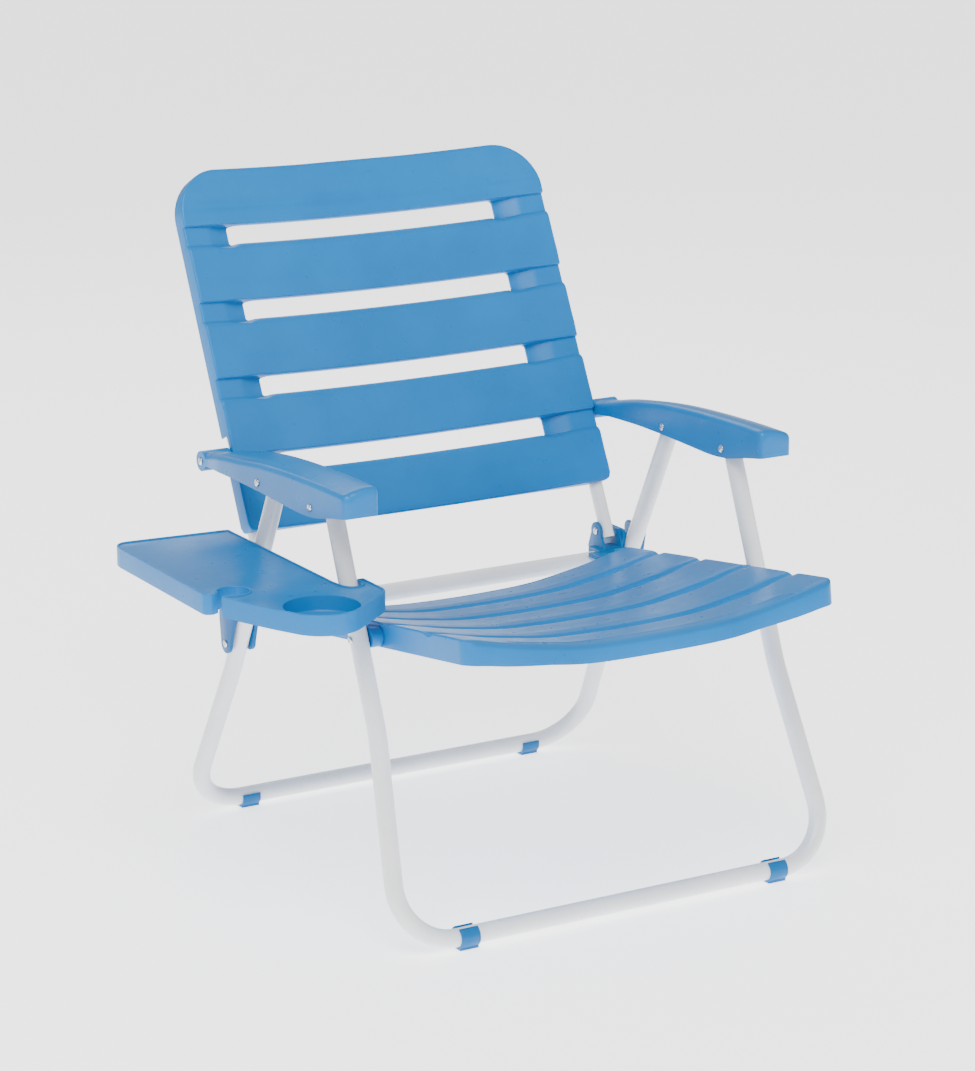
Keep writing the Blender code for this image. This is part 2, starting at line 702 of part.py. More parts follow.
# ---------------------------------------------------------------- foot clips
def foot_clip(name, foot_y, side, joint, front):
    """Saddle that wraps most of the base bar and stands on the floor."""
    middle = FRONT_CLIP_X if front else REAR_CLIP_X
    x0, x1 = sorted((side * (middle - 0.0110), side * (middle + 0.0110)))
    r_in, r_out = TUBE_R + 0.0003, TUBE_R + 0.0022
    start = math.radians(-245 if front else -200)
    sweep = math.radians(310 if front else 220)
    outer = circle((foot_y, FLOOR_GAP), r_out, 15, start, sweep)
    inner = circle((foot_y, FLOOR_GAP), r_in, 15, start, sweep)
    outline = [(y, max(0.0, z)) for y, z in outer] + list(reversed(inner))
    rear, fore = foot_y + 0.0075, foot_y - 0.0075
    pad = [(fore, 0.0), (rear, 0.0), (rear, 0.0030), (fore, 0.0030)]
    clip = prism(name, outline, x0, x1, "X", BRACKET, joint)
    add(clip, prism("tool", pad, x0, x1, "X", BRACKET, joint))
    bore = circle((foot_y, FLOOR_GAP), r_in, 20)
    cut(clip, prism("tool", bore, x0 - 0.01, x1 + 0.01, "X", BRACKET, joint))
    return clip


def foot_clips():
    front_y = leg_point(A3, -FRONT_SLOPE, FLOOR_GAP, 0.0, 0.0)[1]
    rear_y = leg_point(A2, REAR_SLOPE, FLOOR_GAP, 0.0, 0.0)[1]
    for side, tag in ((1, "left"), (-1, "right")):
        foot_clip(f"foot_clip_front_{tag}", front_y, side, (0.0, *S3), True)
        foot_clip(f"foot_clip_rear_{tag}", rear_y, side, (0.0, *A2), False)


# ---------------------------------------------------------------- tray
def tray_outline():
    """Plan of the tray: inner edge, hook round the leg, nose, cup end, keyhole, outer and rear edges."""
    leg_y = A3[0] - FRONT_SLOPE * (A3[1] - (TRAY_TOP + TRAY_LOW) / 2)
    cove = [(-LEG_X + COVE_R * math.cos(a), leg_y + 1.4 * COVE_R * math.sin(a))
            for a in (math.pi * (1 + i / 8) for i in range(9))]
    inner = [(-TRAY_IN, 0.1440), (-TRAY_IN, leg_y + 0.012)]
    tip = [(-0.2392, -0.1000), (-0.2374, -0.0985), (-0.2318, -0.0985), (-0.2298, -0.1010)]
    nose = [(-0.2300, -0.1405), (-0.2315, -0.1485), (-0.2360, -0.1555), (-0.2420, -0.1607)]
    front = circle(CUP_AT, CUP_R + 0.0026, 11, math.radians(-52), math.radians(-102))
    wing = [(-0.3660, -0.1500), (-0.3790, -0.1180), (-0.3888, -0.0862)]
    pocket = circle(KEY_AT, KEY_R, 12, math.radians(202 + 27), math.radians(360 - 54))
    outer = [(-0.3935, -0.0752), (-0.3975, -0.0742), (-0.4008, -0.0700), (-0.4012, -0.0640)]
    outer += [(-0.3990, 0.1400), (-0.3972, 0.1500), (-0.3920, 0.1570), (-0.3840, 0.1600)]
    rear = [(-0.2680, 0.1500), (-0.2635, 0.1485)]
    points = inner + cove[1:] + tip + nose + front + wing + pocket + outer + rear
    clean = [p for p, q in zip(points, points[1:] + points[:1]) if math.dist(p, q) > 0.0006]
    return list(reversed(clean)) if signed_area(clean) < 0 else clean


def signed_area(outline):
    total = 0.0
    for (ax, ay), (bx, by) in zip(outline, outline[1:] + outline[:1]):
        total += ax * by - bx * ay
    return total / 2


def tray():
    outline = tray_outline()
    pivot = (-LEG_X, A3[0], TRAY_TOP)
    body = prism("side_tray", outline, TRAY_LOW, TRAY_TOP, "Z", PLASTIC, pivot)
    under = inset(outline, SKIN)
    cut(body, prism("tool", under, TRAY_LOW - 0.01, TRAY_TOP - 0.0049, "Z", PLASTIC, pivot))
    plate = TRAY_TOP - TRAY_RIM
    cut(body, prism("tool", inset(outline, 0.0026), plate, TRAY_TOP + 0.01, "Z", PLASTIC, pivot))
    wall = circle(CUP_AT, CUP_R + 0.0022, 28)
    add(body, prism("tool", wall, TRAY_LOW + 0.0002, plate - 0.0015, "Z", PLASTIC, pivot))
    recess = circle(CUP_AT, CUP_R, 28)
    cut(body, prism("tool", recess, TRAY_LOW + 0.0024, TRAY_TOP + 0.01, "Z", PLASTIC, pivot))
    return body


# ---------------------------------------------------------------- assembly
def recentre():
    """Move everything so the origin is the bottom centre of the whole part."""
    bpy.context.view_layer.update()
    points = [o.matrix_world @ v.co for o in bpy.data.objects for v in o.data.vertices]
    low = [min(p[i] for p in points) for i in range(3)]
    high = [max(p[i] for p in points) for i in range(3)]
    shift = Vector((-(low[0] + high[0]) / 2, -(low[1] + high[1]) / 2, -low[2]))
    for obj in bpy.data.objects:
        obj.location += shift
    print("shift", [round(v, 6) for v in shift], "size", [round(h - l, 4) for l, h in zip(low, high)])


def build():
    clear_scene()
    back_panel()
    backrest_tube()
    seat_panel()
    seat_cross_tube()
    front_leg_frame()
    rear_leg_frame()
    for side in (1, -1):
        rear_bracket(side)
        seat_lug(side)
        armrest(side)
        arm_screws(side)
        seat_screws(side)
    foot_clips()
    tray()
    recentre()


build()
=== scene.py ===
"""The folding beach chair's visual model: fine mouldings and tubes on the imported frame."""

import math

import bmesh
import bpy
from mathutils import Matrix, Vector


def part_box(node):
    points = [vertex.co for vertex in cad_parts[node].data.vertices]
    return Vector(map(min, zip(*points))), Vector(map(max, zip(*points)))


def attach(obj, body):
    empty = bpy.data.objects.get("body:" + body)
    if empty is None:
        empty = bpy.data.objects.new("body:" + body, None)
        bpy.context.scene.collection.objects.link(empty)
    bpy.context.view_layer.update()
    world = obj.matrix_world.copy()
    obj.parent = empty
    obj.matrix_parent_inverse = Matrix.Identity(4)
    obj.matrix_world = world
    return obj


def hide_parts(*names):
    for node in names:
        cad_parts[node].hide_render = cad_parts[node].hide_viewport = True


# ---------------------------------------------------------------- dimensions, chair-centred, in metres
TUBE_R, TUBE_WALL, BACK_R = 0.0100, 0.0012, 0.0080
LEG_X, FLOOR_GAP, BEND_R = 0.2505, 0.0125, 0.060
FRONT_CLIP_X, REAR_CLIP_X = 0.1940, 0.1885
A3, S3 = (-0.0711, 0.4422), (-0.1254, 0.3103)
A1, S1 = (0.2010, 0.4335), (0.1467, 0.3016)
A2, S2 = (0.0489, 0.4429), (0.1528, 0.2360)
CROSS = (0.1380, 0.2700)
FRONT_SLOPE, REAR_SLOPE = -0.4117, 0.5020
FRONT_KINK, REAR_KINK, FRONT_SPLAY, REAR_SPLAY, LEG_TOP = 0.2160, 0.1980, 0.1050, 0.0620, 0.0120

BACK_TILT = math.radians(25.86)
BACK_BASE = (0.2040, 0.4200)
BACK_LOW, BACK_HIGH = -0.0765, 0.3398
BACK_W, BACK_W_TOP, BACK_CORNER = 0.2360, 0.2338, 0.057
BACK_TUBE_H, BACK_TUBE_X = 0.0042, 0.2225
SLAT_PITCH, SLOT_H, BACK_SLOT_TOP, BACK_SLOT_X = 0.0881, 0.0212, 0.2736, 0.1738
SKIN, WALL = 0.0025, 0.0022

SEAT_TILT = math.atan(0.1466)
SEAT_REAR, SEAT_LEN, SEAT_W = (0.1040, 0.2914), 0.4131, 0.2265
SEAT_SLOT_X, SEAT_CORNER, SEAT_SLOT_H = 0.1700, 0.016, 0.0085
SEAT_SLOTS = (0.0701, 0.1551, 0.2451, 0.3341)

ARM_IN, ARM_TIP_OUT, ARM_OUT, ARM_WALL, HUB_R = 0.2365, 0.2700, 0.2775, 0.0022, 0.0112
TRAY_TOP, TRAY_LOW, TRAY_IN, TRAY_RIM = 0.3670, 0.3450, 0.2632, 0.0019
COVE_R = 0.0114
CUP_AT, CUP_R = (-0.3131, -0.1640), 0.0395
KEY_AT, KEY_R = (-0.3685, -0.0735), 0.0168
EAR_IN, EAR_MID, EAR_OUT = (0.2110, 0.2142), (0.2333, 0.2397), (0.2640, 0.2678)
SCREW_R, SCREW_H, SHANK_R = 0.0043, 0.0016, 0.0022

CAMERA_AT, CAMERA_LENS = (-1.9071, -3.2003, 1.3546), 129.8
CAMERA_TURN = (math.radians(75.03), 0.0, math.radians(-30.50))
WORLD_STRENGTH, FLOOR_GLOW, FLOOR_HALF = 0.55, 1.8, 12.0

# ---------------------------------------------------------------- frame
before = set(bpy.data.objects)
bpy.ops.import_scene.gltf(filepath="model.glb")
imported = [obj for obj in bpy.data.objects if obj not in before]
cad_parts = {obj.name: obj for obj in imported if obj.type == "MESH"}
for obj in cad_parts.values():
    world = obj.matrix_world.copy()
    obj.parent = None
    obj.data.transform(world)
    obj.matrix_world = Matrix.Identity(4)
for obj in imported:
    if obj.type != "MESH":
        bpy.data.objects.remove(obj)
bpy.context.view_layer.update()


def shift_from_frame():
    """The CAD sits with its bounding box centred: find where the chair's own centre went."""
    low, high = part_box("front_leg_frame")
    mid_x = (low[0] + high[0]) / 2
    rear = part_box("seat_cross_tube")
    mid_y = (rear[0][1] + rear[1][1]) / 2 - CROSS[0]
    return Vector((mid_x, mid_y, 0.0))


SHIFT = shift_from_frame()


# ---------------------------------------------------------------- materials
def node(tree, kind, at, **values):
    made = tree.nodes.new(kind)
    made.location = at
    for key, value in values.items():
        setattr(made, key, value)
    return made


def noise(tree, coords, scale, detail, rough, at):
    made = node(tree, "ShaderNodeTexNoise", at)
    made.inputs["Scale"].default_value = scale
    made.inputs["Detail"].default_value = detail
    made.inputs["Roughness"].default_value = rough
    tree.links.new(coords, made.inputs["Vector"])
    return made.outputs["Fac"]


def spread(tree, value, low, high, at):
    """Map 0.3-0.7 noise to a range."""
    made = node(tree, "ShaderNodeMapRange", at)
    made.inputs["From Min"].default_value = 0.3
    made.inputs["From Max"].default_value = 0.7
    made.inputs["To Min"].default_value = low
    made.inputs["To Max"].default_value = high
    tree.links.new(value, made.inputs["Value"])
    return made.outputs["Result"]


def tinted(tree, value, dark, light, at):
    made = node(tree, "ShaderNodeMix", at, data_type="RGBA")
    made.inputs["A"].default_value = (*dark, 1.0)
    made.inputs["B"].default_value = (*light, 1.0)
    tree.links.new(value, made.inputs["Factor"])
    return made.outputs["Result"]


def bumped(tree, heights, at):
    """Chain of bumps: (height socket, distance in metres, strength)."""
    normal = None
    for i, (height, distance, strength) in enumerate(heights):
        made = node(tree, "ShaderNodeBump", (at[0] + 180 * i, at[1]))
        made.inputs["Distance"].default_value = distance
        made.inputs["Strength"].default_value = strength
        tree.links.new(height, made.inputs["Height"])
        if normal:
            tree.links.new(normal, made.inputs["Normal"])
        normal = made.outputs["Normal"]
    return normal


def begin(name):
    mat = bpy.data.materials.new(name)
    mat.use_nodes = True
    tree = mat.node_tree
    coords = node(tree, "ShaderNodeTexCoord", (-1200, 0)).outputs["Object"]
    return mat, tree, tree.nodes["Principled BSDF"], coords


def plastic(name, dark, light, rough):
    """Injection-moulded polypropylene: soft cloudiness, orange peel and fine handling scuffs."""
    mat, tree, shader, coords = begin(name)
    cloud = noise(tree, coords, 9.0, 3.0, 0.55, (-900, 300))
    shader_colour = tinted(tree, spread(tree, cloud, 0.0, 1.0, (-650, 300)), dark, light, (-400, 300))
    tree.links.new(shader_colour, shader.inputs["Base Color"])
    sheen = noise(tree, coords, 55.0, 4.0, 0.6, (-900, 0))
    tree.links.new(spread(tree, sheen, rough - 0.035, rough + 0.05, (-650, 0)), shader.inputs["Roughness"])
    peel = noise(tree, coords, 380.0, 2.0, 0.5, (-900, -300))
    wave = noise(tree, coords, 26.0, 2.0, 0.5, (-900, -550))
    normal = bumped(tree, [(wave, 0.0008, 0.08), (peel, 0.00004, 0.05)], (-400, -400))
    tree.links.new(normal, shader.inputs["Normal"])
    shader.inputs["Specular IOR Level"].default_value = 0.24
    return mat


def powder_coat(name):
    """White powder coat on steel tube: a fine leathery grain under a satin gloss."""
    mat, tree, shader, coords = begin(name)
    cloud = noise(tree, coords, 14.0, 3.0, 0.6, (-900, 300))
    shade = spread(tree, cloud, 0.0, 1.0, (-650, 300))
    colour = tinted(tree, shade, (0.800, 0.815, 0.830), (0.870, 0.875, 0.880), (-400, 300))
    tree.links.new(colour, shader.inputs["Base Color"])
    sheen = noise(tree, coords, 120.0, 3.0, 0.6, (-900, 0))
    tree.links.new(spread(tree, sheen, 0.26, 0.36, (-650, 0)), shader.inputs["Roughness"])
    grain = noise(tree, coords, 750.0, 2.0, 0.5, (-900, -300))
    tree.links.new(bumped(tree, [(grain, 0.0002, 0.22)], (-400, -300)), shader.inputs["Normal"])
    shader.inputs["Coat Weight"].default_value = 0.25
    shader.inputs["Coat Roughness"].default_value = 0.15
    return mat


def zinc(name):
    """Bright zinc plating with faint mottling."""
    mat, tree, shader, coords = begin(name)
    cloud = noise(tree, coords, 300.0, 3.0, 0.6, (-900, 300))
    shade = spread(tree, cloud, 0.0, 1.0, (-650, 300))
    colour = tinted(tree, shade, (0.560, 0.570, 0.590), (0.760, 0.770, 0.780), (-400, 300))
    tree.links.new(colour, shader.inputs["Base Color"])
    tree.links.new(spread(tree, cloud, 0.20, 0.36, (-650, 0)), shader.inputs["Roughness"])
    shader.inputs["Metallic"].default_value = 1.0
    return mat


def studio_floor(name):
    mat, tree, shader, coords = begin(name)
    cloud = noise(tree, coords, 1.2, 3.0, 0.5, (-900, 300))
    shade = spread(tree, cloud, 0.0, 1.0, (-650, 300))
    colour = tinted(tree, shade, (0.95, 0.955, 0.96), (0.98, 0.98, 0.98), (-400, 300))
    tree.links.new(colour, shader.inputs["Base Color"])
    shader.inputs["Roughness"].default_value = 0.75
    shader.inputs["Emission Color"].default_value = (1.0, 1.0, 1.0, 1.0)
    shader.inputs["Emission Strength"].default_value = FLOOR_GLOW
    return mat


BLUE = plastic("sky_blue_plastic", (0.0, 0.155, 0.440), (0.0, 0.185, 0.510), 0.30)
DEEP = plastic("deep_blue_plastic", (0.0, 0.110, 0.310), (0.0, 0.135, 0.370), 0.34)
WHITE = powder_coat("white_powder_coat")
STEEL = zinc("bright_zinc")


# ---------------------------------------------------------------- mesh helpers
def piece(name, verts, faces, mat, body, slot, replaced=(), sharp=35.0, move=True):
    """One piece of the visual model, in the row frame, riding on a body."""
    mesh = bpy.data.meshes.new(name)
    offset = SHIFT if move else Vector((0, 0, 0))
    mesh.from_pydata([tuple(Vector(v) + offset) for v in verts], [], faces)
    obj = bpy.data.objects.new(name, mesh)
    bpy.context.scene.collection.objects.link(obj)
    finish_mesh(mesh, sharp)
    mesh.materials.append(mat)
    if body:
        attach(obj, body)
        if replaced:
            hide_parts(*replaced)
    return obj


def finish_mesh(mesh, sharp=35.0):
    work = bmesh.new()
    work.from_mesh(mesh)
    bmesh.ops.remove_doubles(work, verts=work.verts, dist=1e-6)
    bmesh.ops.dissolve_degenerate(work, edges=work.edges, dist=1e-6)
    bmesh.ops.recalc_face_normals(work, faces=work.faces)
    work.to_mesh(mesh)
    work.free()
    mesh.shade_smooth()
    mesh.set_sharp_from_angle(angle=math.radians(sharp))
    mesh.update()


def tool(verts, faces):
    """A temporary solid for a Boolean."""
    mesh = bpy.data.meshes.new("tool")
    mesh.from_pydata([tuple(Vector(v) + SHIFT) for v in verts], [], faces)
    obj = bpy.data.objects.new("tool", mesh)
    bpy.context.scene.collection.objects.link(obj)
    work = bmesh.new()
    work.from_mesh(mesh)
    bmesh.ops.recalc_face_normals(work, faces=work.faces)
    work.to_mesh(mesh)
    work.free()
    return obj


def boolean(target, other, operation):
    mod = target.modifiers.new("cut", "BOOLEAN")
    mod.solver = "EXACT"
    mod.operation = operation
    mod.object = other
    result = bpy.data.meshes.new_from_object(target.evaluated_get(bpy.context.evaluated_depsgraph_get()))
    target.modifiers.clear()
    old = target.data
    target.data = result
    bpy.data.meshes.remove(old)
    bpy.data.objects.remove(other, do_unlink=True)
    finish_mesh(result)


def soften(obj, width, segments=3, angle=38.0):
    """Round the hard edges of a moulding."""
    mod = obj.modifiers.new("soft_edges", "BEVEL")
    mod.width = width
    mod.segments = segments
    mod.limit_method = "ANGLE"
    mod.angle_limit = math.radians(angle)
    mod.use_clamp_overlap = True
    mod.harden_normals = False
    result = bpy.data.meshes.new_from_object(obj.evaluated_get(bpy.context.evaluated_depsgraph_get()))
    obj.modifiers.clear()
    old = obj.data
    obj.data = result
    bpy.data.meshes.remove(old)
    result.shade_smooth()
    result.set_sharp_from_angle(angle=math.radians(40))


def circle(centre, radius, count, start=0.0, sweep=2 * math.pi):
    full = abs(sweep - 2 * math.pi) < 1e-9
    steps = count if full else count - 1
    angles = (start + sweep * i / steps for i in range(count))
    return [(centre[0] + radius * math.cos(a), centre[1] + radius * math.sin(a)) for a in angles]


def prism_data(outline, low, high, axis):
    count = len(outline)
    if axis == "X":
        rings = [(x, a, b) for x in (low, high) for a, b in outline]
    else:
        rings = [(a, b, z) for z in (low, high) for a, b in outline]
    faces = [tuple(range(count)), tuple(range(2 * count - 1, count - 1, -1))]
    faces += [(i, (i + 1) % count, (i + 1) % count + count, i + count) for i in range(count)]
    return rings, faces


def loft_data(rings):
    n = len(rings[0])
    verts = [p for ring in rings for p in ring]
    faces = [tuple(range(n)), tuple(range(len(verts) - 1, len(verts) - n - 1, -1))]
    for r in range(len(rings) - 1):
        for i in range(n):
            j = (i + 1) % n
            faces.append((r * n + i, r * n + j, (r + 1) * n + j, (r + 1) * n + i))
    return verts, faces


def lerp(table, at):
    if at <= table[0][0]:
        return table[0][1]
    for (a, va), (b, vb) in zip(table, table[1:]):
        if at <= b:
            return va + (vb - va) * (at - a) / (b - a)
    return table[-1][1]


def curve(table, at):
    """Smooth (monotone cubic) value from (position, value) pairs."""
    xs = [p[0] for p in table]
    ys = [p[1] for p in table]
    if at <= xs[0]:
        return ys[0]
    if at >= xs[-1]:
        return ys[-1]
    slopes = [(ys[i + 1] - ys[i]) / (xs[i + 1] - xs[i]) for i in range(len(xs) - 1)]
    tangents = [slopes[0]]
    for a, b in zip(slopes, slopes[1:]):
        tangents.append(0.0 if a * b <= 0 else 2 * a * b / (a + b))
    tangents.append(slopes[-1])
    k = max(i for i in range(len(xs) - 1) if xs[i] <= at)
    h = xs[k + 1] - xs[k]
    t = (at - xs[k]) / h
    return ((2 * t ** 3 - 3 * t ** 2 + 1) * ys[k] + (t ** 3 - 2 * t ** 2 + t) * h * tangents[k]
            + (-2 * t ** 3 + 3 * t ** 2) * ys[k + 1] + (t ** 3 - t ** 2) * h * tangents[k + 1])


def smooth(t):
    t = min(1.0, max(0.0, t))
    return t * t * (3.0 - 2.0 * t)


def quarter(t):
    """Quarter-circle rise from 0 to 1."""
    t = min(1.0, max(0.0, t))
    return math.sqrt(1.0 - (1.0 - t) ** 2)


def inset(outline, amount):
    out = []
    n = len(outline)
    for i in range(n):
        (ax, ay), (bx, by), (cx, cy) = outline[i - 1], outline[i], outline[(i + 1) % n]
        d1 = Vector((bx - ax, by - ay)).normalized()
        d2 = Vector((cx - bx, cy - by)).normalized()
        n1, n2 = Vector((-d1.y, d1.x)), Vector((-d2.y, d2.x))
        mid = (n1 + n2).normalized()
        grow = amount / max(0.45, mid.dot(n1))
        out.append((bx + mid.x * grow, by + mid.y * grow))
    return out


# ---------------------------------------------------------------- tubes
def tube(name, path, radius, body, replaced, sides=36):
    outer, inner = [], []
    side = Vector((0.0, 0.0, 1.0))
    for i, point in enumerate(path):
        here = Vector(point)
        back = here - Vector(path[i - 1]) if i else Vector(path[1]) - here
        fore = Vector(path[i + 1]) - here if i < len(path) - 1 else back
        along = (back.normalized() + fore.normalized()).normalized()
        if i == 0:
            side = along.orthogonal().normalized()
        side = (side - along * side.dot(along)).normalized()
        other = along.cross(side)
        for k in range(sides):
            arm = side * math.cos(2 * math.pi * k / sides) + other * math.sin(2 * math.pi * k / sides)
            outer.append(tuple(here + arm * radius))
            inner.append(tuple(here + arm * (radius - TUBE_WALL)))
    rows, base, faces = len(path), len(path) * sides, []
    for r in range(rows - 1):
        for k in range(sides):
            j = (k + 1) % sides
            a, b, c, d = r * sides + k, r * sides + j, (r + 1) * sides + j, (r + 1) * sides + k
            faces += [(a, b, c, d), (base + a, base + d, base + c, base + b)]
    for k in range(sides):
        j, last = (k + 1) % sides, (rows - 1) * sides
        faces += [(k, base + k, base + j, j), (last + k, last + j, base + last + j, base + last + k)]
    return piece(name, outer + inner, faces, WHITE, body, "white_tube", replaced)


def bend(before, corner, after, radius, steps):
    corner = Vector(corner)
    a = (Vector(before) - corner).normalized()
    b = (Vector(after) - corner).normalized()
    half = a.angle(b) / 2
    centre = corner + (a + b).normalized() * (radius / math.sin(half))
    start = corner + a * (radius / math.tan(half)) - centre
    end = corner + b * (radius / math.tan(half)) - centre
    whole = start.angle(end)
    out = []
    for i in range(steps + 1):
        t = i / steps
        p = start * math.sin((1 - t) * whole) + end * math.sin(t * whole)
        out.append(tuple(centre + p / math.sin(whole)))
    return out


def leg_point(pivot, slope, z, kink, splay):
    """Centre of a leg on the +X side at height z; slope is the run in y per unit of drop."""
    return (LEG_X + max(0.0, kink - z) * splay, pivot[0] + slope * (pivot[1] - z), z)


def leg_frame(name, pivot, slope, kink, splay, body, replaced):
    top = leg_point(pivot, slope, pivot[1] + LEG_TOP / math.hypot(1.0, slope), kink, splay)
    foot = leg_point(pivot, slope, FLOOR_GAP, kink, splay)
    soft = []
    for i in range(9):
        z = kink + 0.012 - 0.003 * i
        t = (kink + 0.012 - z) / 0.024
        soft.append((LEG_X + 0.012 * splay * t * t, *leg_point(pivot, slope, z, kink, splay)[1:]))
    arc = bend(leg_point(pivot, slope, kink - 0.012, kink, splay), foot, (0.0, foot[1], foot[2]), BEND_R, 20)
    right = [top] + soft + arc
    left = [(-x, y, z) for x, y, z in reversed(right)]
    return tube(name, right + left, TUBE_R, body, replaced)


def back_local(x, s, h):
    sin, cos = math.sin(BACK_TILT), math.cos(BACK_TILT)
    return (x, BACK_BASE[0] + s * sin - h * cos, BACK_BASE[1] + s * cos + h * sin)


def backrest_tube():
    dy, dz = S1[0] - BACK_BASE[0], S1[1] - BACK_BASE[1]
    low = dy * math.sin(BACK_TILT) + dz * math.cos(BACK_TILT) - 0.0105
    high, x = BACK_HIGH - 0.0286, BACK_TUBE_X
    foot = back_local(x, low, BACK_TUBE_H)
    mids = [back_local(x, s, BACK_TUBE_H) for s in (BACK_LOW, 0.190)]
    knee = back_local(x, 0.200, BACK_TUBE_H)
    corner = back_local(x - 0.004, high, -0.0085)
    centre = back_local(0.0, high, -0.0115)
    right = [foot] + mids + [knee] + bend(knee, corner, centre, 0.050, 16)
    left = [(-a, b, c) for a, b, c in reversed(right)]
    return tube("backrest_tube_fine", right + [centre] + left, BACK_R, "backrest", ["backrest_tube"], 32)


# ---------------------------------------------------------------- slatted panels
def slat_profile(low, high, dip=0.0085, steep=0.0026):
    """Rows (position, rise) across one slat: steep lower edge, faint ridge, long soft upper chamfer."""
    width = high - low
    rows = [(low, 0.0)]
    for t in (0.12, 0.3, 0.55, 0.8, 1.0):
        rows.append((low + steep * t, 0.97 * quarter(t)))
    for t in (0.10, 0.18, 0.27, 0.36, 0.46, 0.58, 0.70):
        ridge = 0.97 + 0.10 * math.exp(-((t - 0.27) / 0.12) ** 2)
        rows.append((low + steep + (width - steep - dip) * t, ridge))
    for t in (0.0, 0.2, 0.4, 0.6, 0.75, 0.88, 0.96, 1.0):
        rows.append((high - dip * (1 - t), 0.99 * (1 - t ** 2.2)))
    return rows


def panel(name, rows, slots, columns, place, height, half_width, slot_x, corner_r,
          skirt, body, slot, replaced):
    """Thin moulded shell over a fine grid, open at the round-ended slots, with a skirt round its rim.

    rows are (s, rise) and slots are (low, high) in s. columns are (kind, signed fraction): "in" runs from the
    middle to the slot's end, and "out" from there to the rim.
    """
    def slot_end(s):
        for low, high in slots:
            d = min(s - low, high - s)
            if d >= -1e-7:
                return slot_x - corner_r * (1 - quarter(d / corner_r))
        return slot_x - corner_r

    def xs(s):
        w, e = half_width(s), slot_end(s)
        out = []
        for kind, f in columns:
            if kind == "in":
                out.append(f * e)
            else:
                sign = 1 if f >= 0 else -1
                out.append(sign * (e + (w - e) * abs(f)))
        return out

    nr, nc = len(rows), len(columns)
    flat = [[(x, s) for x in xs(s)] for s, _ in rows]
    top = [[height(x, s, rise) for x, s in flat[r]] for r, (s, rise) in enumerate(rows)]
    rim = [(0, c) for c in range(nc)] + [(r, nc - 1) for r in range(1, nr)]
    rim += [(nr - 1, c) for c in range(nc - 2, -1, -1)] + [(r, 0) for r in range(nr - 2, 0, -1)]
    outline = [flat[r][c] for r, c in rim]
    inner = dict(zip(rim, inset(outline, WALL)))
    verts, faces = [], []

    def put(x, s, h):
        verts.append(place(x, s, h))
        return len(verts) - 1

    front = [[put(*flat[r][c], top[r][c]) for c in range(nc)] for r in range(nr)]
    back = []
    for r in range(nr):
        line = []
        for c in range(nc):
            x, s = inner.get((r, c), flat[r][c])
            line.append(put(x, s, top[r][c] - SKIN))
        back.append(line)

    def in_slot(r, c):
        mid = (rows[r][0] + rows[r + 1][0]) / 2
        if not any(low < mid < high for low, high in slots):
            return False
        return columns[c][0] == "in" and columns[c + 1][0] == "in"

    gone = {(r, c) for r in range(nr - 1) for c in range(nc - 1) if in_slot(r, c)}
    for r in range(nr - 1):
        for c in range(nc - 1):
            if (r, c) in gone:
                continue
            faces.append((front[r][c], front[r][c + 1], front[r + 1][c + 1], front[r + 1][c]))
            faces.append((back[r][c], back[r + 1][c], back[r + 1][c + 1], back[r][c + 1]))
    for r, c in gone:
        for (r1, c1), (r2, c2), near in (
            ((r, c), (r, c + 1), (r - 1, c)), ((r + 1, c + 1), (r + 1, c), (r + 1, c)),
            ((r, c + 1), (r + 1, c + 1), (r, c + 1)), ((r + 1, c), (r, c), (r, c - 1)),
        ):
            if near not in gone:
                faces.append((front[r1][c1], front[r2][c2], back[r2][c2], back[r1][c1]))
    low_out = [put(*flat[r][c], skirt(*flat[r][c])) for r, c in rim]
    low_in = [put(*inner[(r, c)], skirt(*flat[r][c])) for r, c in rim]
    for i in range(len(rim)):
        j = (i + 1) % len(rim)
        (r1, c1), (r2, c2) = rim[i], rim[j]
        faces.append((front[r1][c1], low_out[i], low_out[j], front[r2][c2]))
        faces.append((low_out[i], low_in[i], low_in[j], low_out[j]))
        faces.append((low_in[i], back[r1][c1], back[r2][c2], low_in[j]))
    return piece(name, verts, faces, BLUE, body, slot, replaced, sharp=50.0)


def fine_columns(inside, outside):
    right = [("in", f) for f in inside if f > 0] + [("out", f) for f in outside]
    left = [(kind, -f) for kind, f in reversed(right)]
    return left + [("in", 0.0)] + right


def slot_rows(low, high, corner_r):
    steps = (0.08, 0.3, 0.62, 1.0)
    return [low + corner_r * t for t in steps] + [high - corner_r * t for t in reversed(steps)]


def corner_width(base, ends, s):
    w = base
    for end, radius, sign in ends:
        into = radius - (end - s) * sign
        if into > 0:
            w -= radius - math.sqrt(max(0.0, radius ** 2 - into ** 2))
    return w


def back_width(s):
    base = lerp([(BACK_LOW, BACK_W), (BACK_HIGH, BACK_W_TOP)], s)
    return corner_width(base, ((BACK_HIGH, BACK_CORNER, 1), (BACK_LOW, 0.008, -1)), s)


def back_slat_height(x):
    return 0.0015 + 0.0210 * (abs(x) / BACK_W) ** 2


def back_strip_height(x):
    inner = [(0.1738, 0.0), (0.180, 0.0015), (0.190, 0.0055), (0.197, 0.0088), (0.2015, 0.0112)]
    outer = [(0.206, 0.0124), (0.2165, 0.0144), (0.2235, 0.0158), (BACK_W, 0.0176)]
    return curve(inner + outer, abs(x))


def edge_round(x, width, radius):
    """How far a rounded outer edge has dropped at x."""
    return radius * (1 - quarter((width - abs(x)) / radius))


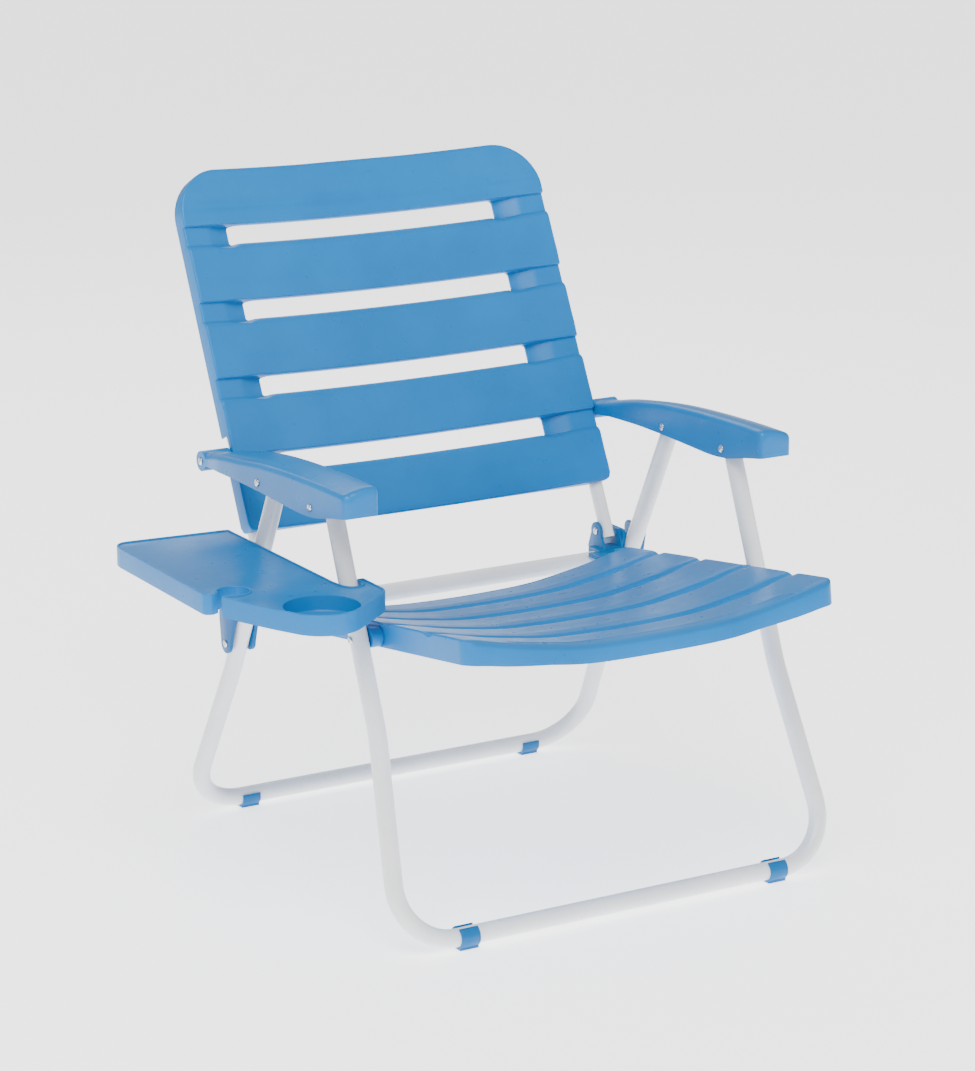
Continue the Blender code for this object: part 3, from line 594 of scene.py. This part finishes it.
def back_height(x, s, rise):
    face = back_slat_height(x)
    low = back_strip_height(x)
    t = smooth((abs(x) - (BACK_SLOT_X - 0.010)) / 0.010)
    low = (face - 0.0048) * (1 - t) + low * t
    value = low + (face - low) * rise
    for rim in (BACK_HIGH - s, s - BACK_LOW):
        value -= 0.0030 * (1 - quarter(rim / 0.0045))
    return value - edge_round(x, back_width(s), 0.0028)


def back_panel():
    tops = [BACK_SLOT_TOP - i * SLAT_PITCH for i in range(4)]
    slots = [(top - SLOT_H, top) for top in tops]
    rows, high = [], BACK_HIGH
    for top in tops:
        rows += slat_profile(top, high)
        high = top - SLOT_H
    rows += slat_profile(BACK_LOW, high)
    rows = [(s, r) for s, r in rows if s < BACK_HIGH - 0.0095 and s > BACK_LOW + 0.003]
    rows += [(BACK_HIGH - d, 0.99) for d in (0.0, 0.0002, 0.0007, 0.0016, 0.0030, 0.0048, 0.0075)]
    rows += [(BACK_HIGH - d, 0.99) for d in (0.0130, 0.0180, 0.0240, 0.0310, 0.0390, 0.0475)]
    rows += [(BACK_LOW + d, 0.97) for d in (0.0, 0.0002, 0.0007, 0.0016, 0.0028)]
    for low, top in slots:
        rows += [(s, 0.0) for s in slot_rows(low, top, 0.0032)]
    rows = sorted(set(rows))
    inside = [0.07 * i for i in range(1, 13)] + [0.90, 0.94, 0.975, 1.0]
    outside = [0.05, 0.12, 0.20, 0.29, 0.38, 0.46, 0.54, 0.64, 0.74, 0.84]
    outside += [0.92, 0.955, 0.975, 0.988, 0.996, 1.0]
    made = panel(
        "back_panel_fine", rows, slots, fine_columns(inside, outside), back_local, back_height, back_width,
        BACK_SLOT_X, 0.0032, lambda x, s: 0.0003, "backrest", "blue_plastic", ["back_panel"],
    )
    for side in (-1, 1):
        cut_hub_notch(made, side)
        cut_tube_slot(made, side)
    finish_mesh(made.data, 50.0)
    return made


def cut_hub_notch(made, side):
    corners = [(0.002, -0.006), (0.034, -0.006), (0.034, 0.0150), (0.002, 0.0150)]
    outline = []
    r = 0.0045
    turns = ((None, 0, 0), (None, 0, 0), (0.0, -1, -1), (math.pi / 2, 1, -1))
    for (s, h), (a0, cs, ch) in zip(corners, turns):
        if a0 is None:
            outline.append((s, h))
            continue
        for k in range(7):
            a = a0 + math.pi / 2 * k / 6
            outline.append((s + cs * r + r * math.cos(a), h + ch * r + r * math.sin(a)))
    yz = [back_local(0.0, s, h)[1:] for s, h in outline]
    lo, hi = sorted((side * 0.2305, side * 0.2450))
    boolean(made, tool(*prism_data(yz, lo, hi, "X")), "DIFFERENCE")


def cut_tube_slot(made, side):
    r = BACK_R + 0.0007
    ring = [(r, -0.012)] + circle((0.0, BACK_TUBE_H), r, 17, 0.0, math.pi) + [(-r, -0.012)]
    rings = [[back_local(side * BACK_TUBE_X + x, s, h) for x, h in ring] for s in (-0.085, -0.058)]
    boolean(made, tool(*loft_data(rings)), "DIFFERENCE")


def seat_local(x, s, h):
    sin, cos = math.sin(SEAT_TILT), math.cos(SEAT_TILT)
    return (x, SEAT_REAR[0] - s * cos + h * sin, SEAT_REAR[1] + s * sin + h * cos)


def seat_width(s):
    return corner_width(SEAT_W, ((SEAT_LEN, SEAT_CORNER, 1), (0.0, 0.012, -1)), s)


def seat_dish(x):
    table = [(0.0, 0.0264), (0.03, 0.0261), (0.06, 0.0254), (0.09, 0.0237), (0.13, 0.0184)]
    return curve(table + [(0.18, 0.0097), (0.205, 0.0040), (SEAT_W, 0.0)], abs(x))


def seat_groove(x, s):
    """Soft groove that runs from the end of a slot to the seat's side."""
    near = min(abs(s - at - 0.0010) for at in SEAT_SLOTS)
    depth = curve([(SEAT_SLOT_X, 0.0052), (0.190, 0.0040), (SEAT_W, 0.0033)], abs(x))
    return depth * math.exp(-(near / 0.0068) ** 2)


def seat_height(x, s, rise):
    t = smooth((abs(x) - (SEAT_SLOT_X - 0.008)) / 0.014)
    value = -seat_dish(x) - 0.0066 * (1 - rise) * (1 - t) - seat_groove(x, s) * t
    value -= 0.0070 * (1 - quarter((SEAT_LEN - s) / 0.016))
    value -= 0.0028 * (1 - quarter(s / 0.005))
    return value - edge_round(x, seat_width(s), 0.0024)


def seat_panel():
    half = SEAT_SLOT_H / 2
    slots = [(at - half, at + half) for at in SEAT_SLOTS]
    rows, low = [], 0.0
    for at in SEAT_SLOTS:
        rows += [(at - half + low - s, rise) for s, rise in slat_profile(low, at - half, 0.0125, 0.0034)]
        low = at + half
    rows += [(SEAT_LEN + low - s, rise) for s, rise in slat_profile(low, SEAT_LEN, 0.0125, 0.0034)]
    rows = [(s, r) for s, r in rows if 0.0072 < s < SEAT_LEN - 0.0175]
    rows += [(d, 0.98) for d in (0.0, 0.0002, 0.0008, 0.0018, 0.0032, 0.0050)]
    steps = (0.0, 0.0002, 0.0007, 0.0015, 0.0027, 0.0043, 0.0063, 0.0087, 0.0115, 0.0145, 0.0172)
    rows += [(SEAT_LEN - d, 0.98) for d in steps]
    for a, b in slots:
        rows += [(s, 0.0) for s in slot_rows(a, b, 0.0026)]
    rows = sorted(set(rows))
    inside = [0.07 * i for i in range(1, 13)] + [0.90, 0.94, 0.975, 1.0]
    outside = [0.06, 0.14, 0.24, 0.36, 0.48, 0.60, 0.72, 0.82, 0.90, 0.945, 0.97, 0.986, 0.996, 1.0]
    return panel(
        "seat_panel_fine", rows, slots, fine_columns(inside, outside), seat_local, seat_height, seat_width,
        SEAT_SLOT_X, 0.0026,
        lambda x, s: -seat_dish(x) - 0.0200
        - 0.0065 * lerp([(0.0, 0.0), (0.13, 0.15), (SEAT_W, 1.0)], abs(x)),
        "seat", "blue_plastic", ["seat_panel"],
    )


# ---------------------------------------------------------------- armrests
ARM_TOP = [(-0.1475, 0.4762), (-0.1350, 0.4764), (-0.1080, 0.4765), (-0.0600, 0.4755), (-0.0100, 0.4735),
           (0.0410, 0.4700), (0.0930, 0.4635), (0.1350, 0.4555), (0.1780, 0.4455), (0.2010, 0.4420)]
ARM_LOW = [(-0.1475, 0.4462), (-0.1250, 0.4425), (-0.1000, 0.4370), (-0.0800, 0.4330), (-0.0500, 0.4310),
           (0.0000, 0.4325), (0.0500, 0.4340), (0.0930, 0.4345), (0.1350, 0.4335), (0.1780, 0.4312),
           (0.2010, 0.4265)]
ARM_SIDE = [(-0.1475, ARM_OUT), (0.0900, ARM_OUT), (0.1500, 0.2752),
            (0.1880, ARM_TIP_OUT), (0.2010, ARM_TIP_OUT)]
ARM_FALL = [(-0.1475, 0.0050), (0.0930, 0.0050), (0.1600, 0.0), (0.2010, 0.0)]
ARM_FRONT = -0.1475


def arm_ring(side, y, shrink, radius):
    """Cross-section of the armrest at one station: rounded upper edges, and a top that falls outwards."""
    nose = 0.0070 * (1 - quarter((y - ARM_FRONT) / 0.0075)) if not shrink else 0.0
    top = curve(ARM_TOP, y) - shrink * 1.15 - nose
    low = curve(ARM_LOW, y) - (0.02 if shrink else 0.0)
    inner = ARM_IN + shrink + nose * 0.8
    outer = lerp(ARM_SIDE, y) - shrink - nose
    fall = lerp(ARM_FALL, y)
    points = [(inner, low)]
    for k in range(9):
        a = math.pi - math.pi / 2 * k / 8
        points.append((inner + radius + radius * math.cos(a), top - radius + radius * math.sin(a)))
    for t in (0.30, 0.42, 0.54, 0.66, 0.76):
        crown = 0.0009 * math.sin(math.pi * t) * (not shrink)
        points.append((inner + (outer - inner) * t, top + crown - fall * smooth((t - 0.15) / 0.85)))
    wide = radius + 0.0010 * (not shrink)
    for k in range(9):
        a = math.pi / 2 - math.pi / 2 * k / 8
        points.append((outer - wide + wide * math.cos(a), top - fall - wide + wide * math.sin(a)))
    points.append((outer, low))
    return [(side * x, y, z) for x, z in points]


def armrest(side):
    tag = "left" if side > 0 else "right"
    stations = [ARM_FRONT + d for d in (0.0, 0.0003, 0.0010, 0.0021, 0.0036, 0.0055, 0.0080)]
    stations += [-0.1350 + 0.0140 * i for i in range(25)]
    rings = [arm_ring(side, y, 0.0, 0.0060) for y in stations]
    body = piece(f"armrest_{tag}_fine", *loft_data(rings), BLUE, None, None)
    hollow = [-0.1442] + [-0.1350 + 0.0140 * i for i in range(22)]
    boolean(body, tool(*loft_data([arm_ring(side, y, ARM_WALL, 0.0038) for y in hollow])), "DIFFERENCE")
    lo, hi = sorted((side * ARM_IN, side * ARM_TIP_OUT))
    boolean(body, tool(*prism_data(circle(A1, HUB_R, 48), lo, hi, "X")), "UNION")
    lo, hi = sorted((side * 0.2312, side * 0.2385))
    boolean(body, tool(*prism_data(circle(A1, 0.0045, 24), lo, hi, "X")), "UNION")
    for y, z in (A2, A3):
        lo, hi = sorted((side * 0.2300, side * 0.2850))
        boolean(body, tool(*prism_data(circle((y, z), SHANK_R + 0.0002, 16), lo, hi, "X")), "DIFFERENCE")
    finish_mesh(body.data, 40.0)
    body.data.materials.clear()
    body.data.materials.append(BLUE)
    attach(body, f"arm_{tag}")
    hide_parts(f"armrest_{tag}")
    return body


# ---------------------------------------------------------------- screws
def screw(node_name, at, face, outward, body):
    """Pan head with a cross recess, over the CAD's shank."""
    y0, z0 = at
    lift = 0.0003
    profile = [(SHANK_R, -0.0028), (SHANK_R, lift), (SCREW_R, lift), (SCREW_R, lift + 0.0004)]
    profile += [(SCREW_R * math.cos(a), lift + 0.0004 + (SCREW_H - 0.0004) * math.sin(a))
                for a in (math.pi / 2 * k / 8 for k in range(1, 8))]
    sides = 32
    angles = [2 * math.pi * k / sides for k in range(sides)]
    verts = [(face + outward * x, y0 + r * math.cos(a), z0 + r * math.sin(a))
             for r, x in profile for a in angles]
    rings = len(profile)
    faces = [tuple(range(sides)), tuple(range(rings * sides - 1, (rings - 1) * sides - 1, -1))]
    for i in range(rings - 1):
        for k in range(sides):
            j = (k + 1) % sides
            faces.append((i * sides + k, i * sides + j, (i + 1) * sides + j, (i + 1) * sides + k))
    made = piece(f"{node_name}_fine", verts, faces, STEEL, None, None)
    arm, half = 0.0024, 0.00042
    cross = [(arm, -half), (arm, half), (half, half), (half, arm), (-half, arm), (-half, half),
             (-arm, half), (-arm, -half), (-half, -half), (-half, -arm), (half, -arm), (half, -half)]
    turn = 0.5
    c, d = math.cos(turn), math.sin(turn)
    outline = [(y0 + a * c - b * d, z0 + a * d + b * c) for a, b in cross]
    lo, hi = sorted((face + outward * (lift + SCREW_H * 0.45), face + outward * 0.01))
    boolean(made, tool(*prism_data(outline, lo, hi, "X")), "DIFFERENCE")
    made.data.materials.clear()
    made.data.materials.append(STEEL)
    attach(made, body)
    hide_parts(node_name)


def screws(side):
    tag = "left" if side > 0 else "right"
    for label, at in (("rear", A2), ("front", A3)):
        screw(f"arm_screw_{label}_outer_{tag}", at, side * ARM_OUT, side, f"arm_{tag}")
        screw(f"arm_screw_{label}_inner_{tag}", at, side * ARM_IN, -side, f"arm_{tag}")
    screw(f"arm_hub_screw_{tag}", A1, side * ARM_TIP_OUT, side, f"arm_{tag}")
    screw(f"back_pivot_rivet_{tag}", S1, side * EAR_IN[0], -side, "seat")
    screw(f"rear_leg_screw_{tag}", S2, side * EAR_OUT[1], side, "seat")
    screw(f"front_leg_screw_{tag}", S3, side * (LEG_X + TUBE_R), side, "seat")


# ---------------------------------------------------------------- brackets, lugs and clips
def ear_outline(centre, radius, base_z, front, rear):
    return [(rear, base_z)] + circle(centre, radius, 22, -0.25, math.pi + 0.5) + [(front, base_z)]


def rounded(points, radius, steps=5):
    """Round every corner of a closed outline."""
    out = []
    n = len(points)
    for i in range(n):
        a, b, c = Vector(points[i - 1]), Vector(points[i]), Vector(points[(i + 1) % n])
        u, v = (a - b), (c - b)
        reach = min(radius, u.length * 0.45, v.length * 0.45)
        p, q = b + u.normalized() * reach, b + v.normalized() * reach
        for k in range(steps + 1):
            t = k / steps
            w = p * (1 - t) ** 2 + b * 2 * t * (1 - t) + q * t ** 2
            out.append((w.x, w.y))
    return out


def leg_ear_outline():
    low = circle(S2, 0.0110, 20, math.pi, math.pi)
    return low + [(0.1672, 0.262), (0.1680, 0.296), (0.1665, 0.3012), (0.1630, 0.304), (0.1320, 0.304),
                  (0.1285, 0.3025), (0.1265, 0.298), (0.1340, 0.262)]


def saddle_outline():
    y, z = CROSS
    r = TUBE_R + 0.0003
    inner = circle(CROSS, r, 25, math.pi, -math.pi)
    return [(y - 0.0135, z - 0.006), (y - 0.0135, z + 0.0132), (y + 0.0135, z + 0.0132),
            (y + 0.0135, z - 0.006), (y + r, z - 0.006)] + list(reversed(inner)) + [(y - r, z - 0.006)]


def rear_bracket(side):
    tag = "left" if side > 0 else "right"

    def block(outline, low, high):
        lo, hi = sorted((side * low, side * high))
        return prism_data(outline, lo, hi, "X")

    body = piece(f"rear_bracket_{tag}_fine", *block(saddle_outline(), 0.2040, 0.2390), DEEP, None, None)
    top = CROSS[1] + 0.0100
    plate = rounded([(0.1250, top), (0.1330, 0.304), (0.1600, 0.304), (0.1630, top)], 0.003)
    for outline, low, high in (
        (ear_outline(S1, 0.0105, top, 0.1270, 0.1640), *EAR_IN),
        (plate, EAR_MID[0], 0.2360),
        (leg_ear_outline(), 0.2358, EAR_MID[1]),
        (leg_ear_outline(), *EAR_OUT),
        ([(0.1560, 0.2640), (0.1620, 0.2640), (0.1620, 0.2900), (0.1560, 0.2900)], 0.2380, 0.2660),
        ([(0.1040, 0.2775), (0.1290, 0.2775), (0.1290, 0.2825), (0.1040, 0.2815)], 0.1900, 0.2220),
    ):
        boolean(body, tool(*block(outline, low, high)), "UNION")
    soften(body, 0.0006, 2)
    body.data.materials.clear()
    body.data.materials.append(DEEP)
    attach(body, "seat")
    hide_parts(f"rear_bracket_{tag}")


def seat_lug(side):
    tag = "left" if side > 0 else "right"
    outline = [(-0.1000, 0.2985)] + circle(S3, 0.0110, 24, -1.75, -math.pi) + [(-0.1000, 0.3165)]
    lo, hi = sorted((side * 0.2268, side * 0.2401))
    body = piece(
        f"seat_lug_{tag}_fine", *prism_data(outline, lo, hi, "X"), BLUE,
        "seat", "blue_plastic", [f"seat_lug_{tag}"],
    )
    soften(body, 0.0008, 3)


def foot_clip(tag, foot_y, side, body, front):
    middle = FRONT_CLIP_X if front else REAR_CLIP_X
    x0, x1 = sorted((side * (middle - 0.0110), side * (middle + 0.0110)))
    r_in, r_out = TUBE_R + 0.0003, TUBE_R + 0.0022
    start = math.radians(-245 if front else -200)
    sweep = math.radians(310 if front else 220)
    outer = circle((foot_y, FLOOR_GAP), r_out, 48, start, sweep)
    inner = circle((foot_y, FLOOR_GAP), r_in, 48, start, sweep)
    outline = [(y, max(0.0, z)) for y, z in outer] + list(reversed(inner))
    where = "front" if front else "rear"
    clip = piece(f"foot_clip_{where}_{tag}_fine", *prism_data(outline, x0, x1, "X"), DEEP, None, None)
    back, ahead = foot_y - 0.0075, foot_y + 0.0075
    pad = [(back, 0.0), (ahead, 0.0), (ahead, 0.0030), (back, 0.0030)]
    boolean(clip, tool(*prism_data(pad, x0, x1, "X")), "UNION")
    bore = circle((foot_y, FLOOR_GAP), r_in, 64)
    boolean(clip, tool(*prism_data(bore, x0 - 0.01, x1 + 0.01, "X")), "DIFFERENCE")
    soften(clip, 0.0005, 2)
    clip.data.materials.clear()
    clip.data.materials.append(DEEP)
    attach(clip, body)
    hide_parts(f"foot_clip_{where}_{tag}")


# ---------------------------------------------------------------- tray
def signed_area(outline):
    pairs = zip(outline, outline[1:] + outline[:1])
    return sum(ax * by - bx * ay for (ax, ay), (bx, by) in pairs) / 2


def tray_outline():
    leg_y = A3[0] + FRONT_SLOPE * (A3[1] - (TRAY_TOP + TRAY_LOW) / 2)
    cove = [(-LEG_X + COVE_R * math.cos(a), leg_y + 1.4 * COVE_R * math.sin(a))
            for a in (math.pi * (1 + i / 20) for i in range(21))]
    inner = [(-TRAY_IN, 0.1440), (-TRAY_IN, 0.05), (-TRAY_IN, leg_y + 0.012)]
    tip = [(-0.2392, -0.1005), (-0.2387, -0.0992), (-0.2374, -0.0985), (-0.2318, -0.0985),
           (-0.2304, -0.0991), (-0.2298, -0.1006)]
    nose = [(-0.2299, -0.1200), (-0.2300, -0.1380), (-0.2305, -0.1440), (-0.2320, -0.1495),
            (-0.2345, -0.1537), (-0.2380, -0.1573), (-0.2420, -0.1607)]
    front = circle(CUP_AT, CUP_R + 0.0026, 30, math.radians(-52), math.radians(-102))
    wing = [(-0.3612, -0.1610), (-0.3668, -0.1480), (-0.3790, -0.1180), (-0.3878, -0.0895),
            (-0.3885, -0.0873), (-0.3882, -0.0862), (-0.3870, -0.0858)]
    pocket = circle(KEY_AT, KEY_R, 30, math.radians(202 + 27), math.radians(360 - 54))
    outer = [(-0.3925, -0.0756), (-0.3950, -0.0751), (-0.3975, -0.0742), (-0.3995, -0.0725),
             (-0.4008, -0.0700), (-0.4012, -0.0660)]
    outer += [(-0.4010, -0.0400), (-0.4000, 0.0500), (-0.3992, 0.1370), (-0.3984, 0.1450), (-0.3966, 0.1510),
              (-0.3930, 0.1560), (-0.3880, 0.1590), (-0.3820, 0.1600)]
    rear = [(-0.3200, 0.1547), (-0.2700, 0.1503), (-0.2650, 0.1493), (-0.2628, 0.1475)]
    points = inner + cove[1:] + tip + nose + front + wing + pocket + outer + rear
    clean = [p for p, q in zip(points, points[1:] + points[:1]) if math.dist(p, q) > 0.0004]
    return list(reversed(clean)) if signed_area(clean) < 0 else clean


def tray():
    """Tray in loops: skirt, rolled rim, recessed plate, cup recess, and the hollow underneath."""
    outline = tray_outline()
    r = 0.0011
    steps = [math.pi / 2 * k / 4 for k in range(5)]
    rim = 0.0026
    outside = [(0.0, TRAY_LOW), (0.0, TRAY_TOP - r)]
    outside += [(r - r * math.cos(a), TRAY_TOP - r + r * math.sin(a)) for a in steps[1:]]
    outside += [(rim - r + r * math.sin(a), TRAY_TOP - r + r * math.cos(a)) for a in steps[1:]]
    plate = TRAY_TOP - TRAY_RIM
    outside += [(rim, plate + 0.0008), (rim + 0.0003, plate + 0.0002), (rim + 0.0010, plate)]
    under = [(SKIN, TRAY_LOW), (SKIN, TRAY_TOP - 0.0049)]
    verts, faces = [], []

    def loop(points, z):
        verts.extend((x, y, z) for x, y in points)
        return list(range(len(verts) - len(points), len(verts)))

    def bridge(a, b):
        for i in range(len(a)):
            j = (i + 1) % len(a)
            faces.append((a[i], a[j], b[j], b[i]))

    outs = [loop(inset(outline, d) if d else outline, z) for d, z in outside]
    ins = [loop(inset(outline, d), z) for d, z in under]
    for a, b in zip(outs, outs[1:]):
        bridge(a, b)
    bridge(outs[0], ins[0])
    bridge(ins[0], ins[1])
    sides = 72
    lip = [(CUP_R + 0.0012, plate), (CUP_R + 0.0004, plate - 0.0003), (CUP_R, plate - 0.0012),
           (CUP_R, TRAY_LOW + 0.0050), (CUP_R - 0.0008, TRAY_LOW + 0.0034),
           (CUP_R - 0.0026, TRAY_LOW + 0.0024)]
    cup = [loop(circle(CUP_AT, rad, sides), z) for rad, z in lip]
    for a, b in zip(cup, cup[1:]):
        bridge(a, b)
    faces.append(tuple(cup[-1]))
    under_cup = circle(CUP_AT, CUP_R + 0.0022, sides)
    cup_under = [loop(under_cup, z) for z in (TRAY_TOP - 0.0049, TRAY_LOW + 0.0002)]
    bridge(cup_under[0], cup_under[1])
    faces.append(tuple(cup_under[1]))
    made = piece("side_tray_fine", verts, faces, BLUE, None, None)
    fill_between(made.data, verts, outs[-1], cup[0])
    fill_between(made.data, verts, ins[-1], cup_under[0])
    finish_mesh(made.data, 38.0)
    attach(made, "tray")
    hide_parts("side_tray")


def fill_between(mesh, verts, outer, inner):
    """Triangulate the flat ring between an outline loop and a round one."""
    work = bmesh.new()
    work.from_mesh(mesh)
    by_place = {tuple(round(v, 6) for v in w.co): w for w in work.verts}
    edges = []
    for ring in (outer, inner):
        found = [by_place[tuple(round(v, 6) for v in Vector(verts[i]) + SHIFT)] for i in ring]
        for a, b in zip(found, found[1:] + found[:1]):
            edges.append(work.edges.get((a, b)) or work.edges.new((a, b)))
    bmesh.ops.triangle_fill(work, use_beauty=True, use_dissolve=False, edges=edges)
    work.to_mesh(mesh)
    work.free()


# ---------------------------------------------------------------- stage
def floor():
    size = FLOOR_HALF
    verts = [(-size, -size, 0.0), (size, -size, 0.0), (size, size, 0.0), (-size, size, 0.0)]
    made = piece("studio_floor", verts, [(0, 1, 2, 3)], studio_floor("studio_floor_paint"), None, None)


def area_light(name, at, target, size, power, colour=(1.0, 1.0, 1.0)):
    data = bpy.data.lights.new(name, "AREA")
    data.shape = "RECTANGLE"
    data.size, data.size_y = size
    data.energy = power
    data.color = colour
    obj = bpy.data.objects.new(name, data)
    obj.location = at
    obj.rotation_euler = (Vector(target) - Vector(at)).to_track_quat("-Z", "Y").to_euler()
    bpy.context.scene.collection.objects.link(obj)


def lights():
    area_light("key_light", (-1.2, -1.6, 3.2), (0.0, 0.0, 0.3), (2.4, 2.0), 140.0, (1.0, 0.99, 0.97))
    area_light("fill_light", (2.6, -1.8, 1.6), (0.0, 0.0, 0.4), (2.2, 2.2), 12.0, (0.97, 0.98, 1.0))
    area_light("rim_light", (0.6, 2.6, 2.4), (0.0, 0.0, 0.4), (2.4, 1.6), 36.0)
    world = bpy.data.worlds.new("studio")
    world.use_nodes = True
    back = world.node_tree.nodes["Background"]
    back.inputs["Color"].default_value = (1.0, 1.0, 1.0, 1.0)
    back.inputs["Strength"].default_value = WORLD_STRENGTH
    bpy.context.scene.world = world


def camera():
    data = bpy.data.cameras.new("camera")
    data.sensor_fit = "HORIZONTAL"
    data.sensor_width = 36.0
    data.lens = CAMERA_LENS
    obj = bpy.data.objects.new("camera", data)
    obj.location = Vector(CAMERA_AT) + SHIFT
    obj.rotation_euler = CAMERA_TURN
    bpy.context.scene.collection.objects.link(obj)
    bpy.context.scene.camera = obj


# ---------------------------------------------------------------- assembly
def build():
    leg_frame("front_leg_frame_fine", A3, FRONT_SLOPE, FRONT_KINK, FRONT_SPLAY,
              "front_legs", ["front_leg_frame"])
    leg_frame("rear_leg_frame_fine", A2, REAR_SLOPE, REAR_KINK, REAR_SPLAY,
              "rear_legs", ["rear_leg_frame"])
    backrest_tube()
    cross = [(-0.2325 + 0.465 * i / 8, *CROSS) for i in range(9)]
    tube("seat_cross_tube_fine", cross, TUBE_R, "seat", ["seat_cross_tube"])
    back_panel()
    seat_panel()
    front_y = leg_point(A3, FRONT_SLOPE, FLOOR_GAP, 0.0, 0.0)[1]
    rear_y = leg_point(A2, REAR_SLOPE, FLOOR_GAP, 0.0, 0.0)[1]
    for side, tag in ((1, "left"), (-1, "right")):
        armrest(side)
        screws(side)
        rear_bracket(side)
        seat_lug(side)
        foot_clip(tag, front_y, side, "front_legs", True)
        foot_clip(tag, rear_y, side, "rear_legs", False)
    tray()


build()
floor()
lights()
camera()
